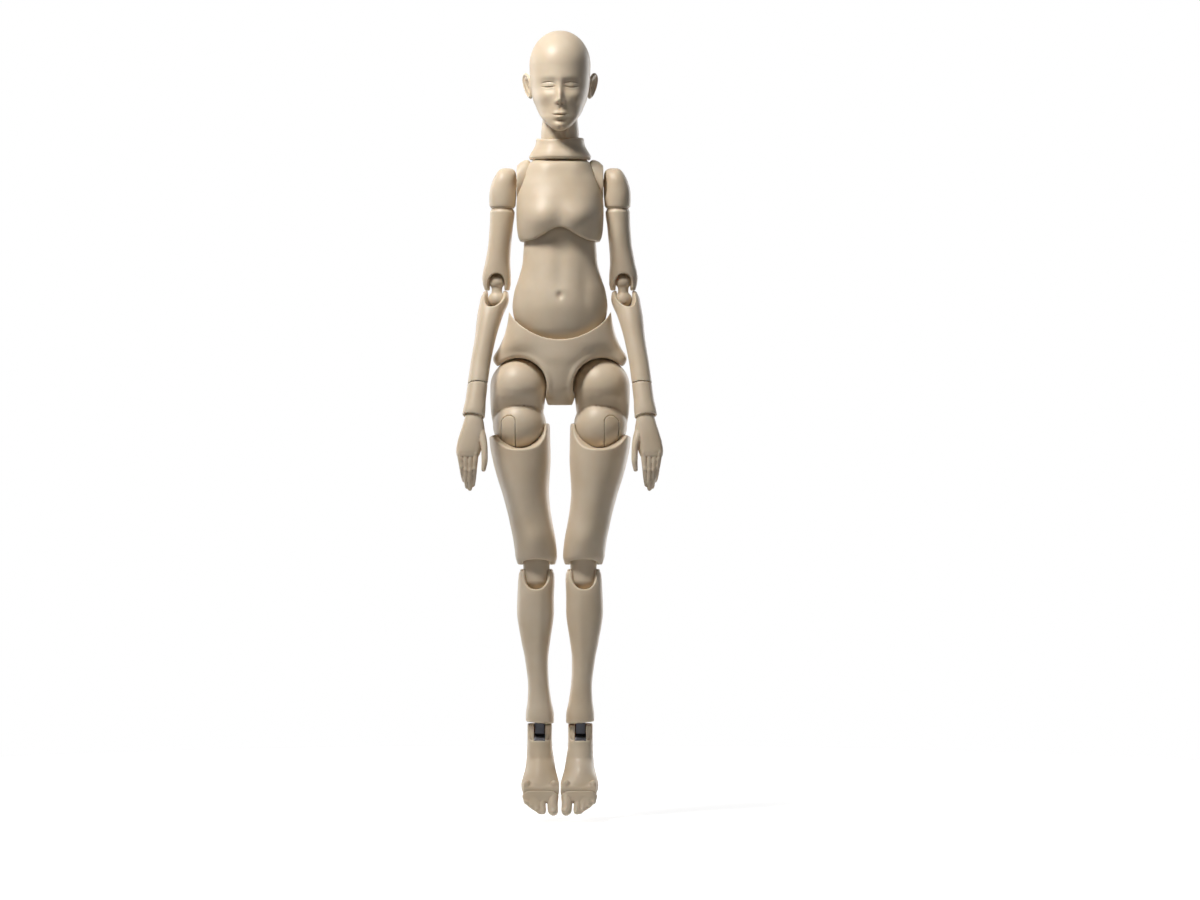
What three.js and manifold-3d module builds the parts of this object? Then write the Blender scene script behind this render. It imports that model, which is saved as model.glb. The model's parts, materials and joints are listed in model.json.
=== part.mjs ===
// Ball-jointed action figure body, about one sixth of life size, hanging with pointed feet.
// Millimetres, +Z up. The figure faces -Y and its left side is +X.
// The origin is the centre of the pelvis' flat underside, between the legs.

import * as THREE from 'three';
import { mergeVertices } from 'three/addons/utils/BufferGeometryUtils.js';
import Module from 'manifold-3d';

const wasm = await Module();
wasm.setup();

// Fits shared by every joint
const CLEARANCE = 0.3;
const PIN_RADIUS = 1.0;
const PIN_SEAT = 1.1;
const SIDES = 10;
const FINE_SIDES = 14;
const PIN_SIDES = 8;
const DIGIT_SIDES = 6;
const LARGE_BALL = 8;
const POLE = 80;
const BALL_STEP = 24;
const SLICE_STEP = 15;
const OVERCUT = 2;
const AXLE_LATITUDE = -40;
const END_ANGLES = [0, 30, 55, 75];
const END_TAPER = 0.22;

// Joint centres along the body, each measured from the one below it
const WAIST_HEIGHT = 42.4;
const WAIST_TO_CHEST = 23.3;
const CHEST_TO_COLLAR = 25.8;
const COLLAR_TO_SKULL = 24.5;
const NECK_BACK = 2;

// Pelvis, waist ball and waist post
const PELVIS_HEIGHT = 37.2;
const WAIST_RADIUS = 20.2;
const WAIST_BEND = 15;
const POST_BALL = 4;
const POST_RADIUS = 2.4;
const POST_FOOT = 12;
const PELVIS_SECTIONS = [
  [0, 4.7, 5.2, 5.6], [0.07, 5.4, 6.6, 7.4], [0.16, 9.5, 8.2, 10], [0.27, 17.5, 9, 12],
  [0.39, 23, 9.8, 13.6], [0.51, 25.2, 10.6, 14], [0.65, 24.4, 10.9, 13.4], [0.81, 22.4, 10.8, 12],
  [1, 20.6, 9.5, 10.2],
];

// Abdomen: a dome above, hinged in the chest, and the waist ball below
const DOME_WIDE = 14;
const DOME_DEEP = 10.2;
const DOME_FROM = -20;
const ABDOMEN_SECTIONS = [
  [-0.92, 12.5, 9.5], [-0.55, 17, 11.2], [-0.2, 17.6, 11.4], [0.04, 17.4, 11.1], [0.24, 16.1, 10.4],
  [0.53, 14.4, 9.2], [0.76, 14.1, 8.5],
];

// Chest shells: one lofted trunk split into a front plate and a back shell
const CHEST_SPLIT = 2;
const CHEST_SECTIONS = [
  [-0.13, 15.7, 11.9, 12], [0.09, 15.9, 12.4, 12.4], [0.32, 16.4, 12.6, 12.7], [0.515, 16.5, 12.2, 12.9],
  [0.71, 15.6, 10.6, 12.6], [0.885, 13.6, 8.4, 11.6], [1.02, 11.6, 7, 10.4], [1.06, 10.2, 6, 9.4],
];
const BUST_RADII = [7.4, 6.8, 7.8];
const BUST_OUT = 7.5;
const BUST_FORWARD = 9.2;
const BUST_UP = 9.4;
const ARCH_RADIUS = 12;
const ARCH_TOP = 3.2;
const ARCH_FORWARD = 4;

// Collar and neck
const COLLAR_BALL = 6.3;
const COLLAR_LATITUDE = 20;
const COLLAR_SECTIONS = [
  [3.1, 7.4, 6.9], [3.9, 10.8, 9.2], [4.8, 11.3, 9.6], [6.5, 10.9, 9.3], [9, 9.6, 8.4],
  [10.2, 8.8, 7.9], [10.3, 7.8, 7.2],
];
const NECK_PEG = 4;
const NECK_PEG_FOOT = 4.4;
const NECK_SECTIONS = [[10.7, 7, 6.6], [13, 6.9, 6.5], [16.5, 6.7, 6.3], [18.6, 5.4, 5.3], [19.6, 4.3, 4.3]];
const NECK_BALL = 5.9;
const NECK_LATITUDE = -48;

// Head: sections up from the chin, with the socket's centre at zero
const HEAD_FLARE = 15;
const HEAD_SECTIONS = [
  [-11.4, 2.6, 2, 2, -11], [-9.5, 5, 3.6, 3.9, -11], [-6.8, 7, 6.2, 6.8, -8.8], [-4.6, 8.1, 9.6, 9.5, -5.5],
  [-2, 9.2, 11.6, 10.6, -3.6], [1, 10.4, 12.2, 13.3, -3], [5, 11.1, 13, 15.2, -2], [9, 11.5, 13.3, 16, -2],
  [14, 11.7, 13.2, 16.2, -2], [19, 10.8, 11.6, 14.8, -2], [23, 8.6, 9, 11.6, -1.6], [26, 5, 5.2, 7, -1],
  [27.4, 1.8, 1.8, 2.4, -0.5],
];
const EAR_RADII = [1.8, 2.8, 4.8];
const EAR_PLACE = [11.9, 2, 4];
const NOSE_RADII = [1.6, 2, 3.4];
const NOSE_PLACE = [0, -14.8, 0.8];

// Shoulder block, shoulder ball and cap
const CLAVICLE_OUT = 12.3;
const CLAVICLE_UP = 20.8;
const CLAVICLE_BALL = 4.2;
const CLAVICLE_SWING = 12;
const CLAVICLE_LATITUDE = 10;
const CLAVICLE_END = [4.6, 4.9];
const CLAVICLE_MIDDLE = [0.55, 0.95, 0.93, 0.5];
const SHOULDER_OUT = 21.6;
const SHOULDER_BACK = 2;
const SHOULDER_UP = 19.3;
const SHOULDER_BALL = 3;
const SHOULDER_AXLE = 1.5;
const SHOULDER_AXLE_LENGTH = 8;
const SHOULDER_LIFT = 75;
const CAP_RADIUS = 5;
const CAP_DEEP = 5.5;
const CAP_LENGTH = 9.7;
const CAP_SECTIONS = [[1, 4.3, 4.6, 0.5], [0.92, 4.7, 5.1, 0.5], [0.5, 5, 5.5, 0.2]];
const ARM_PEG = 2.2;
const ARM_PEG_LENGTH = 4;

// Upper arm and elbow: sections by share of the length from shoulder to elbow
const UPPER_ARM = 36.2;
const ELBOW_OUT = 2.6;
const ELBOW_MIDDLE = 2.3;
const ELBOW_SPAN = 8.8;
const ELBOW_END = 3.4;
const ELBOW_WIDE = 5.2;
const ELBOW_LINK_WIDE = 2.5;
const ELBOW_LINK_RADIUS = 3;
const UPPER_ARM_SECTIONS = [
  [0.84, 4.8, 4.6, 1.6], [0.65, 4.5, 4.7, 0.9], [0.46, 4.4, 4.9, 0.6], [0.31, 4.6, 5, 0.5],
];
const UPPER_ARM_RIM = [4.2, 4.5, 4.5, 0.5];

// Forearm, wrist cuff and hand
const FOREARM = 34;
const FOREARM_BEND = 20;
const FOREARM_TOP = [5, 0.6];
const FOREARM_SECTIONS = [
  [0.98, 3.8, 3.6, 7], [0.75, 3.8, 3.8, 6], [0.47, 4, 4.4, 4.4], [0.19, 4.8, 4.9, 2.6],
];
const CUFF = 11;
const CUFF_TURN = 7.1;
const CUFF_RIM = [3.6, 3.4];
const CUFF_WALL = [3.85, 3.65];
const CUFF_ROUND = 1;
const CUFF_PEG = 1.8;
const CUFF_PEG_LENGTH = 3.6;
const WRIST_OUT = 8.3;
const HAND_BEND = 10;
const WRIST_END = 3;
const WRIST_WIDE = 4.1;
const HAND_TONGUE_WIDE = 1.6;
const HAND_TONGUE_RADIUS = 2.2;
const HAND_TONGUE_SPAN = 5;
const PALM_SECTIONS = [
  [-17.5, 4.3, 2.3, 1.6], [-13.5, 4.6, 2.7, 1.4], [-9, 4.3, 2.9, 1], [-5, 3.5, 2.8, 0.4],
  [-3.6, 2.9, 2.4, 0.2],
];
const FINGER_RADIUS = 1.2;
const FINGER_LENGTHS = [13.5, 15, 14, 11.5];
const FINGER_FIRST = -1.4;
const FINGER_PITCH = 2.05;
const FINGER_MIDDLE = 1.6;
const FINGER_DRAW = 0.42;
const FINGER_CURL = 4.2;
const FINGER_BACK = 0.17;
const FINGER_ROOT = -15.5;
const FINGER_OVERLAP = 1.5;
const FINGER_SHARES = [0, 0.6, 1];
const TIP_SHARE = 0.55;
const THUMB_RADIUS = 1.3;
const THUMB_ROUTE = [[-2.4, -0.4, -9], [-3.2, -1.4, -14.5], [-3.4, -1.2, -19.5], [-3, -0.6, -23.5]];

// Hip and upper thigh: two balls, one in the pelvis and one in the lower thigh
const HIP_OUT = 15.9;
const HIP_BACK = 1;
const HIP_UP = 7;
const HIP_RADIUS = 10.8;
const HIP_SPREAD = 35;
const HIP_BALL = 4.2;
const HIP_AXLE = 2;
const HIP_AXLE_GAP = 0.6;
const THIGH_BALL = 10.2;
const THIGH_BALL_PLACE = [-0.4, -14.7];
const THIGH_NECK = 8.8;
const THIGH_LATITUDE = 32;

// Hinge tongue in the thigh's lower ball, standing on a turntable
const TONGUE_OUT = 4.2;
const TONGUE_WIDE = 4.6;
const TONGUE_HUB = 3;
const TONGUE_FRONT = 158;
const TONGUE_BEHIND = 283;
const TONGUE_SWING = 40;
const TONGUE_STEM_DEEP = 3.6;
const TONGUE_STEM_TOP = 8;
const TURNTABLE_RADIUS = 6.9;
const TURNTABLE_TOP = 11.2;
const TURNTABLE_THICK = 2.1;
const TURNTABLE_PEG = 2.5;
const TURNTABLE_PEG_LENGTH = 4;

// Lower thigh: sections by share of the length from the thigh ball to the knee
const LOWER_THIGH = 50.2;
const CUP_RIM = 2.2;
const CUP_FRONT_DIP = 8.8;
const CUP_BACK_DIP = 5;
const CUP_SCOOP = 10.3;
const CUP_TAPER = 0.1;
const KNEE_IN = -6.5;
const KNEE_SPAN = 9.2;
const KNEE_END = 3.6;
const KNEE_WIDE = 7.5;
const KNEE_LINK_WIDE = 5.2;
const KNEE_LINK_RADIUS = 3.6;
const LOWER_THIGH_SECTIONS = [
  [0.9, 8.1, 7.6, 7.4, -5.9], [0.72, 8.2, 8.6, 8.4, -4.2], [0.54, 8.8, 9.6, 9.4, -2.5],
  [0.4, 10, 10.6, 10.4, -1.5], [0.265, 11.1, 11.4, 11.2, -0.8], [0.14, 11.5, 11.7, 11.5, -0.2],
  [0, 11.5, 11.6, 11.5, 0],
];

// Shin and ankle
const ANKLE_DOWN = 62.4;
const SHIN = 54.2;
const ANKLE_PLACE = [-1.2, 0.5];
const SHIN_TOP_WIDE = 6.9;
const SHIN_SECTIONS = [
  [0.957, 5.5, 5.2, 5.4, -1.3], [0.845, 4.6, 4.4, 4.6, -1.2], [0.718, 4, 4.2, 4.4, -1],
  [0.548, 4.3, 4.6, 5.4, -0.4], [0.42, 5.5, 5.2, 7, -0.2], [0.21, 7.1, 6.2, 8.2, -0.2],
  [0.103, 6.9, 6.4, 7, -0.2],
];
const SHIN_RIM = [5.2, 5, 5, -1.3];
const ANKLE_RADIUS = 2.4;
const ANKLE_WIDE = 1.8;
const ANKLE_PEG = 2.2;
const ANKLE_PEG_LENGTH = 4.2;
const ANKLE_PEG_ROOT = 1;

// Foot and toes, about the ankle pin
const FOOT_TOP = 2.2;
const TOE_PLACE = [-0.5, -10.5, -16.7];
const TOE_END = 2.6;
const TOE_WIDE = 6.5;
const TOE_KNUCKLE = 2;
const TOE_KNUCKLE_WIDE = 3;
const TOE_KNUCKLE_SPAN = 4.1;
const TOE_PIN_LENGTH = 12;
const FOOT_SECTIONS = [
  [-13, 6.3, 4.6, 5.2, -0.4, -7], [-9.5, 5.9, 7, 8.8, -0.3, -2.5], [-5, 5.3, 5.8, 7, -0.2, 0],
  [-1, 4.9, 4.8, 5.5, 0, 0],
];
const FOOT_RIM = [4.5, 4.4];
const TOE_BASE_SECTIONS = [[-6, 6.5, 2.2, -1.6], [-4.4, 6.6, 2.5, -0.8], [-3.1, 6.2, 2.4, 0]];
const TOE_RADII = [1.9, 1.3, 1.3, 1.25, 1.2];
const TOE_LENGTHS = [10.2, 9.3, 8.9, 8.3, 7.6];
const TOE_OUT = [-4.6, -1.1, 1.4, 3.7, 5.4];
const TOE_SLOPE = 0.38;
const TOE_SHARES = [0.45, 0.8, 1];

const RESIN = new THREE.MeshStandardMaterial({ color: 0xe3cdb0, roughness: 0.5, metalness: 0 });
const METAL = new THREE.MeshStandardMaterial({ color: 0x55565a, roughness: 0.4, metalness: 0.9 });

const WELD = 1e-3;
const FAR = 60;
const AXIS_X = new THREE.Vector3(1, 0, 0);
const AXIS_Y = new THREE.Vector3(0, 1, 0);
const AXIS_Z = new THREE.Vector3(0, 0, 1);
const ACROSS_X = new THREE.Matrix4().makeBasis(AXIS_Y, AXIS_Z, AXIS_X);
const ACROSS_Y = new THREE.Matrix4().makeBasis(AXIS_X, AXIS_Z, AXIS_Y.clone().negate());
const INWARD = 180;
const DOWN = 270;
const { degToRad } = THREE.MathUtils;

// Joining and cutting

function bare(geometry) {
  const copy = geometry.clone();
  const extras = Object.keys(copy.attributes).filter((name) => name !== 'position');
  extras.forEach((name) => copy.deleteAttribute(name));
  return mergeVertices(copy, WELD);
}

function solid(geometry) {
  const { attributes, index } = bare(geometry);
  const triVerts = Uint32Array.from(index.array);
  const vertProperties = attributes.position.array;
  return new wasm.Manifold(new wasm.Mesh({ numProp: 3, vertProperties, triVerts }));
}

function fromSolid(body) {
  const { vertProperties, triVerts } = body.getMesh();
  const geometry = new THREE.BufferGeometry();
  geometry.setAttribute('position', new THREE.BufferAttribute(Float32Array.from(vertProperties), 3));
  geometry.setIndex(Array.from(triVerts));
  return geometry;
}

function cut(geometry, ...tools) {
  return fromSolid(tools.reduce((body, tool) => body.subtract(solid(tool)), solid(geometry)));
}

function join(geometry, ...others) {
  return fromSolid(others.reduce((body, other) => body.add(solid(other)), solid(geometry)));
}

function keep(geometry, within) {
  return fromSolid(solid(geometry).intersect(solid(within)));
}

// Simple forms

// One rounded cross-section at height z about the point x, y
function ring(z, wide, front, back = front, x = 0, y = 0) {
  return { z, wide, front, back, x, y };
}

// A round tube's two cross-sections
function tube(radius, from, to, x = 0, y = 0) {
  return [from, to].map((z) => ring(z, radius, radius, radius, x, y));
}

// Cross-sections of a ball between two latitudes
function ballRings(radius, from, to, z = 0, x = 0, y = 0) {
  const steps = Math.ceil((to - from) / BALL_STEP);
  return Array.from({ length: steps + 1 }, (_, i) => {
    const latitude = degToRad(from + ((to - from) * i) / steps);
    const across = radius * Math.cos(latitude);
    return ring(z + radius * Math.sin(latitude), across, across, across, x, y);
  });
}

// Cross-sections of a limb's end that is round about a cross pin: `way` is 1 at an upper end,
// and -1 at a lower one
function endRings(radius, wide, z, way, x = 0, y = 0) {
  const rings = END_ANGLES.map((angle) => {
    const rise = Math.sin(degToRad(angle));
    const deep = radius * Math.cos(degToRad(angle));
    return ring(z + way * radius * rise, wide * (1 - END_TAPER * rise ** 3), deep, deep, x, y);
  });
  return way > 0 ? rings : rings.reverse();
}

// Cross-sections of an arm's piece, each given by its share of the length, width, depth and x
function limbRings(sections, length) {
  return sections.map(([share, wide, deep, x]) => ring(-share * length, wide, deep, deep, x));
}

// Closes a stack of cross-sections, from its first pole along the outside to its last pole
function skin(rings, sides = SIDES) {
  const positions = [];
  const index = [];
  rings.forEach(({ z, wide, front, back, x, y }) => {
    for (let i = 0; i < sides; i += 1) {
      const angle = (i / sides) * 2 * Math.PI;
      const deep = Math.sin(angle) < 0 ? front : back;
      positions.push(x + wide * Math.cos(angle), y + deep * Math.sin(angle), z);
    }
  });
  const firstPole = rings.length * sides;
  const lastRing = firstPole - sides;
  [rings[0], rings[rings.length - 1]].forEach(({ z, front, back, x, y }) => {
    positions.push(x, y + (back - front) / 2, z);
  });
  for (let i = 0; i < sides; i += 1) {
    const next = (i + 1) % sides;
    index.push(firstPole, next, i);
    index.push(firstPole + 1, lastRing + i, lastRing + next);
    for (let start = 0; start < lastRing; start += sides) {
      index.push(start + i, start + next, start + sides + next);
      index.push(start + i, start + sides + next, start + sides + i);
    }
  }
  const geometry = new THREE.BufferGeometry();
  geometry.setAttribute('position', new THREE.Float32BufferAttribute(positions, 3));
  geometry.setIndex(index);
  return geometry;
}

function box(wide, deep, tall, x = 0, y = 0, z = 0) {
  return new THREE.BoxGeometry(wide, deep, tall).translate(x, y, z);
}

function rod(axis, radius, length, x = 0, y = 0, z = 0, sides = PIN_SIDES) {
  const turn = new THREE.Quaternion().setFromUnitVectors(AXIS_Y, axis);
  return new THREE.CylinderGeometry(radius, radius, length, sides).applyQuaternion(turn).translate(x, y, z);
}

function egg([rx, ry, rz], [x, y, z]) {
  return new THREE.SphereGeometry(1, SIDES, SIDES / 2).scale(rx, ry, rz).translate(x, y, z);
}

// A hollow for a ball: its flats stay outside the ball by the clearance
function socket(radius, x = 0, y = 0, z = 0) {
  const sides = radius > LARGE_BALL ? FINE_SIDES : SIDES;
  const rows = sides / 2;
  const flat = Math.cos(Math.PI / sides) * Math.cos(Math.PI / (2 * rows));
  return new THREE.SphereGeometry((radius + CLEARANCE) / flat, sides, rows).translate(x, y, z);
}

// A hollow for a round pin or axle
function bore(axis, radius, length, x = 0, y = 0, z = 0, sides = PIN_SIDES) {
  return rod(axis, (radius + CLEARANCE) / Math.cos(Math.PI / sides), length, x, y, z, sides);
}

// A slice of a disc between two angles in degrees, widened by `pad` along both its straight edges
function slice(reach, pad, from, to) {
  const steps = Math.max(2, Math.ceil((to - from) / SLICE_STEP));
  const points = [];
  const edge = (degrees, along, aside) => {
    const angle = degToRad(degrees);
    const x = along * Math.cos(angle) - aside * Math.sin(angle);
    points.push(new THREE.Vector2(x, along * Math.sin(angle) + aside * Math.cos(angle)));
  };
  edge(from, 0, -pad);
  edge(from, reach, -pad);
  for (let i = 1; i < steps; i += 1) {
    edge(from + ((to - from) * i) / steps, reach, 0);
  }
  edge(to, reach, pad);
  edge(to, 0, pad);
  return new THREE.Shape(points);
}

function plate(shape, thick, across) {
  const options = { depth: thick, bevelEnabled: false, curveSegments: DIGIT_SIDES };
  const geometry = new THREE.ExtrudeGeometry(shape, options);
  return geometry.translate(0, 0, -thick / 2).applyMatrix4(across);
}

// A hinge link: two round ends `span` apart, the upper one at the origin
function linkShape(radius, span) {
  const shape = new THREE.Shape();
  shape.absarc(0, 0, radius, 0, Math.PI);
  shape.absarc(0, -span, radius, Math.PI, 2 * Math.PI);
  return shape;
}

// The slot for a link's end in a limb, cut right through: `way` is 1 where it opens upwards
function linkSlot(radius, halfWide, way, x = 0, y = 0, z = 0) {
  const tall = FAR / 4;
  return box(2 * (halfWide + CLEARANCE), FAR, tall, x, y, z + way * (tall / 2 - radius - CLEARANCE));
}

// A cross pin seated in both walls of a slot, and the bore for it
function pinLength(halfWide) {
  return 2 * (halfWide + CLEARANCE + PIN_SEAT);
}

function crossPin(halfWide) {
  return rod(AXIS_X, PIN_RADIUS, pinLength(halfWide));
}

function pinBore(halfWide, x = 0, y = 0, z = 0) {
  return bore(AXIS_X, PIN_RADIUS, pinLength(halfWide) + 2 * CLEARANCE, x, y, z);
}

// A finger or toe: a round tube through hand-set points, with a rounded tip
function digit(route, radius) {
  const rings = route.map(([x, y, z], i) => {
    const across = i < route.length - 1 ? radius : radius * TIP_SHARE;
    return ring(z, across, across, across, x, y);
  });
  return skin(rings.reverse(), DIGIT_SIDES);
}

// Scene building

function place(group, name, geometry, material = RESIN, side = 1) {
  const shape = bare(geometry);
  if (side < 0) {
    shape.scale(-1, 1, 1);
    const { array } = shape.index;
    for (let i = 0; i < array.length; i += 3) {
      [array[i], array[i + 1]] = [array[i + 1], array[i]];
    }
  }
  const mesh = new THREE.Mesh(shape, material);
  mesh.name = name;
  group.add(mesh);
}

function joint(parent, x, y, z) {
  const group = new THREE.Group();
  group.position.set(x, y, z);
  parent.add(group);
  return group;
}

// Torso

function pelvis() {
  const sections = PELVIS_SECTIONS.map(([share, ...section]) => ring(share * PELVIS_HEIGHT, ...section));
  const boreFoot = POST_FOOT - CLEARANCE;
  const postBore = bore(AXIS_Z, POST_RADIUS, WAIST_HEIGHT - boreFoot, 0, 0, (WAIST_HEIGHT + boreFoot) / 2);
  const legs = [1, -1].map((side) => socket(HIP_RADIUS, side * HIP_OUT, HIP_BACK, HIP_UP));
  const axles = bore(AXIS_X, HIP_AXLE, 2 * HIP_OUT, 0, HIP_BACK, HIP_UP);
  const waist = socket(WAIST_RADIUS, 0, 0, WAIST_HEIGHT);
  return cut(skin(sections, FINE_SIDES), ...legs, waist, axles, postBore);
}

function waistPost() {
  const top = -POST_BALL * Math.cos(Math.asin(POST_RADIUS / POST_BALL));
  const shaft = tube(POST_RADIUS, POST_FOOT - WAIST_HEIGHT, top);
  return skin([...shaft, ...ballRings(POST_BALL, AXLE_LATITUDE, POLE)], PIN_SIDES);
}

function abdomen() {
  const sections = ABDOMEN_SECTIONS.map(([share, ...section]) => ring(share * WAIST_TO_CHEST, ...section));
  const dome = ballRings(1, DOME_FROM, POLE).map(({ z, wide }) => {
    return ring(WAIST_TO_CHEST + DOME_DEEP * z, DOME_WIDE * wide, DOME_DEEP * wide);
  });
  const ball = new THREE.SphereGeometry(WAIST_RADIUS, FINE_SIDES, FINE_SIDES / 2);
  const belowBall = cut(box(FAR, FAR, FAR / 2, 0, 0, -FAR / 4), ball);
  const pad = POST_RADIUS + CLEARANCE;
  const bend = slice(WAIST_RADIUS + OVERCUT, pad, DOWN - WAIST_BEND, DOWN + WAIST_BEND);
  const slot = plate(bend, 2 * pad, ACROSS_X);
  const pin = bore(AXIS_X, PIN_RADIUS, FAR, 0, 0, WAIST_TO_CHEST);
  return cut(skin([...sections, ...dome], FINE_SIDES), belowBall, socket(POST_BALL), slot, pin);
}

function chestShells() {
  const sections = CHEST_SECTIONS.map(([share, ...section]) => ring(share * CHEST_TO_COLLAR, ...section));
  const trunk = skin(sections, FINE_SIDES);
  const bust = [1, -1].map((side) => egg(BUST_RADII, [side * BUST_OUT, -BUST_FORWARD, BUST_UP]));
  const wide = (DOME_WIDE + CLEARANCE) / (1 + CLEARANCE);
  const deep = (DOME_DEEP + CLEARANCE) / (1 + CLEARANCE);
  const hollow = socket(1).scale(wide, deep, deep);
  const archMiddle = -ARCH_FORWARD - FAR / 2;
  const arch = rod(AXIS_Y, ARCH_RADIUS, FAR, 0, archMiddle, ARCH_TOP - ARCH_RADIUS, FINE_SIDES);
  const shoulders = [1, -1].map((side) => clavicleHollow(side));
  const pin = bore(AXIS_X, PIN_RADIUS, 2 * (DOME_WIDE + PIN_SEAT));
  const neck = socket(COLLAR_BALL, 0, NECK_BACK, CHEST_TO_COLLAR);
  const whole = cut(join(trunk, ...bust), hollow, ...shoulders, pin, neck);
  const half = (from) => box(FAR, FAR / 2, FAR * 2, 0, CHEST_SPLIT + from * (FAR / 4 - CLEARANCE / 2), 0);
  return { front: cut(whole, half(1), arch), back: cut(whole, half(-1)) };
}

function chestPin() {
  return rod(AXIS_X, PIN_RADIUS, 2 * (DOME_WIDE + PIN_SEAT - CLEARANCE));
}

function collar() {
  const sections = COLLAR_SECTIONS.map((section) => ring(...section));
  const mouth = COLLAR_SECTIONS[COLLAR_SECTIONS.length - 1][0] - CLEARANCE;
  const hollow = tube(NECK_PEG + CLEARANCE, mouth, NECK_PEG_FOOT - CLEARANCE);
  return skin([...ballRings(COLLAR_BALL, -POLE, COLLAR_LATITUDE), ...sections, ...hollow]);
}

function neck() {
  const shoulder = NECK_SECTIONS[0][0] - CLEARANCE;
  const peg = tube(NECK_PEG, NECK_PEG_FOOT, shoulder);
  const ball = ballRings(NECK_BALL, NECK_LATITUDE, POLE, COLLAR_TO_SKULL);
  return skin([...peg, ...NECK_SECTIONS.map((section) => ring(...section)), ...ball]);
}

function head() {
  const sections = HEAD_SECTIONS.map(([z, wide, front, back, y]) => ring(z, wide, front, back, 0, y));
  const [earOut, earBack, earUp] = EAR_PLACE;
  const ears = [1, -1].map((side) => egg(EAR_RADII, [side * earOut, earBack, earUp]));
  const reach = OVERCUT - HEAD_SECTIONS[0][0];
  const mouth = NECK_BALL + CLEARANCE;
  const throat = mouth + reach * Math.tan(degToRad(HEAD_FLARE));
  const flare = new THREE.CylinderGeometry(mouth, throat, reach, SIDES).rotateX(Math.PI / 2);
  flare.translate(0, 0, -reach / 2);
  const face = join(skin(sections, FINE_SIDES), ...ears, egg(NOSE_RADII, NOSE_PLACE));
  return cut(face, socket(NECK_BALL), flare);
}

// Shoulder

function clavicleHollow(side) {
  const reach = clavicleReach();
  const [high, deep] = CLAVICLE_END;
  const drop = CLAVICLE_UP - SHOULDER_UP;
  const flat = Math.cos(Math.PI / SIDES);
  const start = (CLAVICLE_BALL + CLEARANCE) / flat;
  const mouth = Math.max(high + drop, deep) + CLEARANCE + reach * Math.tan(degToRad(CLAVICLE_SWING));
  const flare = new THREE.CylinderGeometry(mouth / flat, start, reach, SIDES).rotateZ((-side * Math.PI) / 2);
  flare.translate(side * (CLAVICLE_OUT + reach / 2), SHOULDER_BACK, CLAVICLE_UP);
  return join(socket(CLAVICLE_BALL, side * CLAVICLE_OUT, SHOULDER_BACK, CLAVICLE_UP), flare);
}

function clavicleReach() {
  return SHOULDER_OUT - CLAVICLE_OUT - CAP_RADIUS - CLEARANCE;
}

function clavicle() {
  const end = clavicleReach();
  const drop = CLAVICLE_UP - SHOULDER_UP;
  const [high, deep] = CLAVICLE_END;
  const block = [CLAVICLE_MIDDLE, [1, 1, 1, 1]].map(([along, tall, thick, fall]) => {
    return ring(end * along, high * tall, deep * thick, deep * thick, drop * fall);
  });
  const ball = ballRings(CLAVICLE_BALL, -POLE, CLAVICLE_LATITUDE);
  const body = skin([...ball, ...block]).rotateY(Math.PI / 2);
  const axleEnd = SHOULDER_OUT - SHOULDER_AXLE_LENGTH - CLAVICLE_OUT - CLEARANCE;
  return cut(body, bore(AXIS_X, SHOULDER_AXLE, FAR, axleEnd + FAR / 2, 0, -drop));
}

function axleBall(ballRadius, axleRadius, length) {
  const foot = -ballRadius * Math.cos(Math.asin(axleRadius / ballRadius));
  const axle = tube(axleRadius, -length, foot);
  return skin([...axle, ...ballRings(ballRadius, AXLE_LATITUDE, POLE)], PIN_SIDES).rotateY(Math.PI / 2);
}

function deltoid() {
  const peg = tube(ARM_PEG + CLEARANCE, ARM_PEG_LENGTH + CLEARANCE - CAP_LENGTH, -CAP_LENGTH);
  const walls = limbRings(CAP_SECTIONS, CAP_LENGTH);
  const stretch = CAP_DEEP / CAP_RADIUS;
  const top = ballRings(CAP_RADIUS, 0, POLE).map(({ z, wide }) => ring(z, wide, wide * stretch));
  const pad = SHOULDER_AXLE + CLEARANCE;
  const slot = plate(slice(CAP_RADIUS + OVERCUT, pad, INWARD - SHOULDER_LIFT, INWARD), 2 * pad, ACROSS_Y);
  return cut(skin([...peg, ...walls, ...top]), socket(SHOULDER_BALL), slot);
}

function upperArm() {
  const end = endRings(ELBOW_END, ELBOW_WIDE, -UPPER_ARM, -1, ELBOW_MIDDLE);
  const sections = limbRings(UPPER_ARM_SECTIONS, UPPER_ARM);
  const top = -CAP_LENGTH - CLEARANCE;
  const peg = tube(ARM_PEG, top, top + ARM_PEG_LENGTH);
  const body = skin([...end, ...sections, ring(top, ...UPPER_ARM_RIM), ...peg]);
  const slot = linkSlot(ELBOW_LINK_RADIUS, ELBOW_LINK_WIDE, -1, ELBOW_OUT, 0, -UPPER_ARM);
  return cut(body, slot, pinBore(ELBOW_LINK_WIDE, ELBOW_OUT, 0, -UPPER_ARM));
}

function link(radius, halfWide, span) {
  const body = plate(linkShape(radius, span), 2 * halfWide, ACROSS_X);
  const bores = [0, -span].map((z) => bore(AXIS_X, PIN_RADIUS, FAR, 0, 0, z));
  return cut(body, ...bores);
}

// Forearm and hand, about the lower elbow pin and the wrist pin

function forearm() {
  const boreTop = CUFF_PEG_LENGTH + CLEARANCE - FOREARM;
  const peg = tube(CUFF_PEG + CLEARANCE, boreTop, -FOREARM, CUFF_TURN);
  const [rimWide, rimDeep] = CUFF_RIM;
  const rim = ring(-FOREARM, rimWide, rimDeep, rimDeep, CUFF_TURN);
  const sections = limbRings(FOREARM_SECTIONS, FOREARM);
  const [topWide, topX] = FOREARM_TOP;
  const body = skin([...peg, rim, ...sections, ...endRings(ELBOW_END, topWide, 0, 1, topX)]);
  return cut(body, linkSlot(ELBOW_LINK_RADIUS, ELBOW_LINK_WIDE, 1), pinBore(ELBOW_LINK_WIDE));
}

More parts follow.
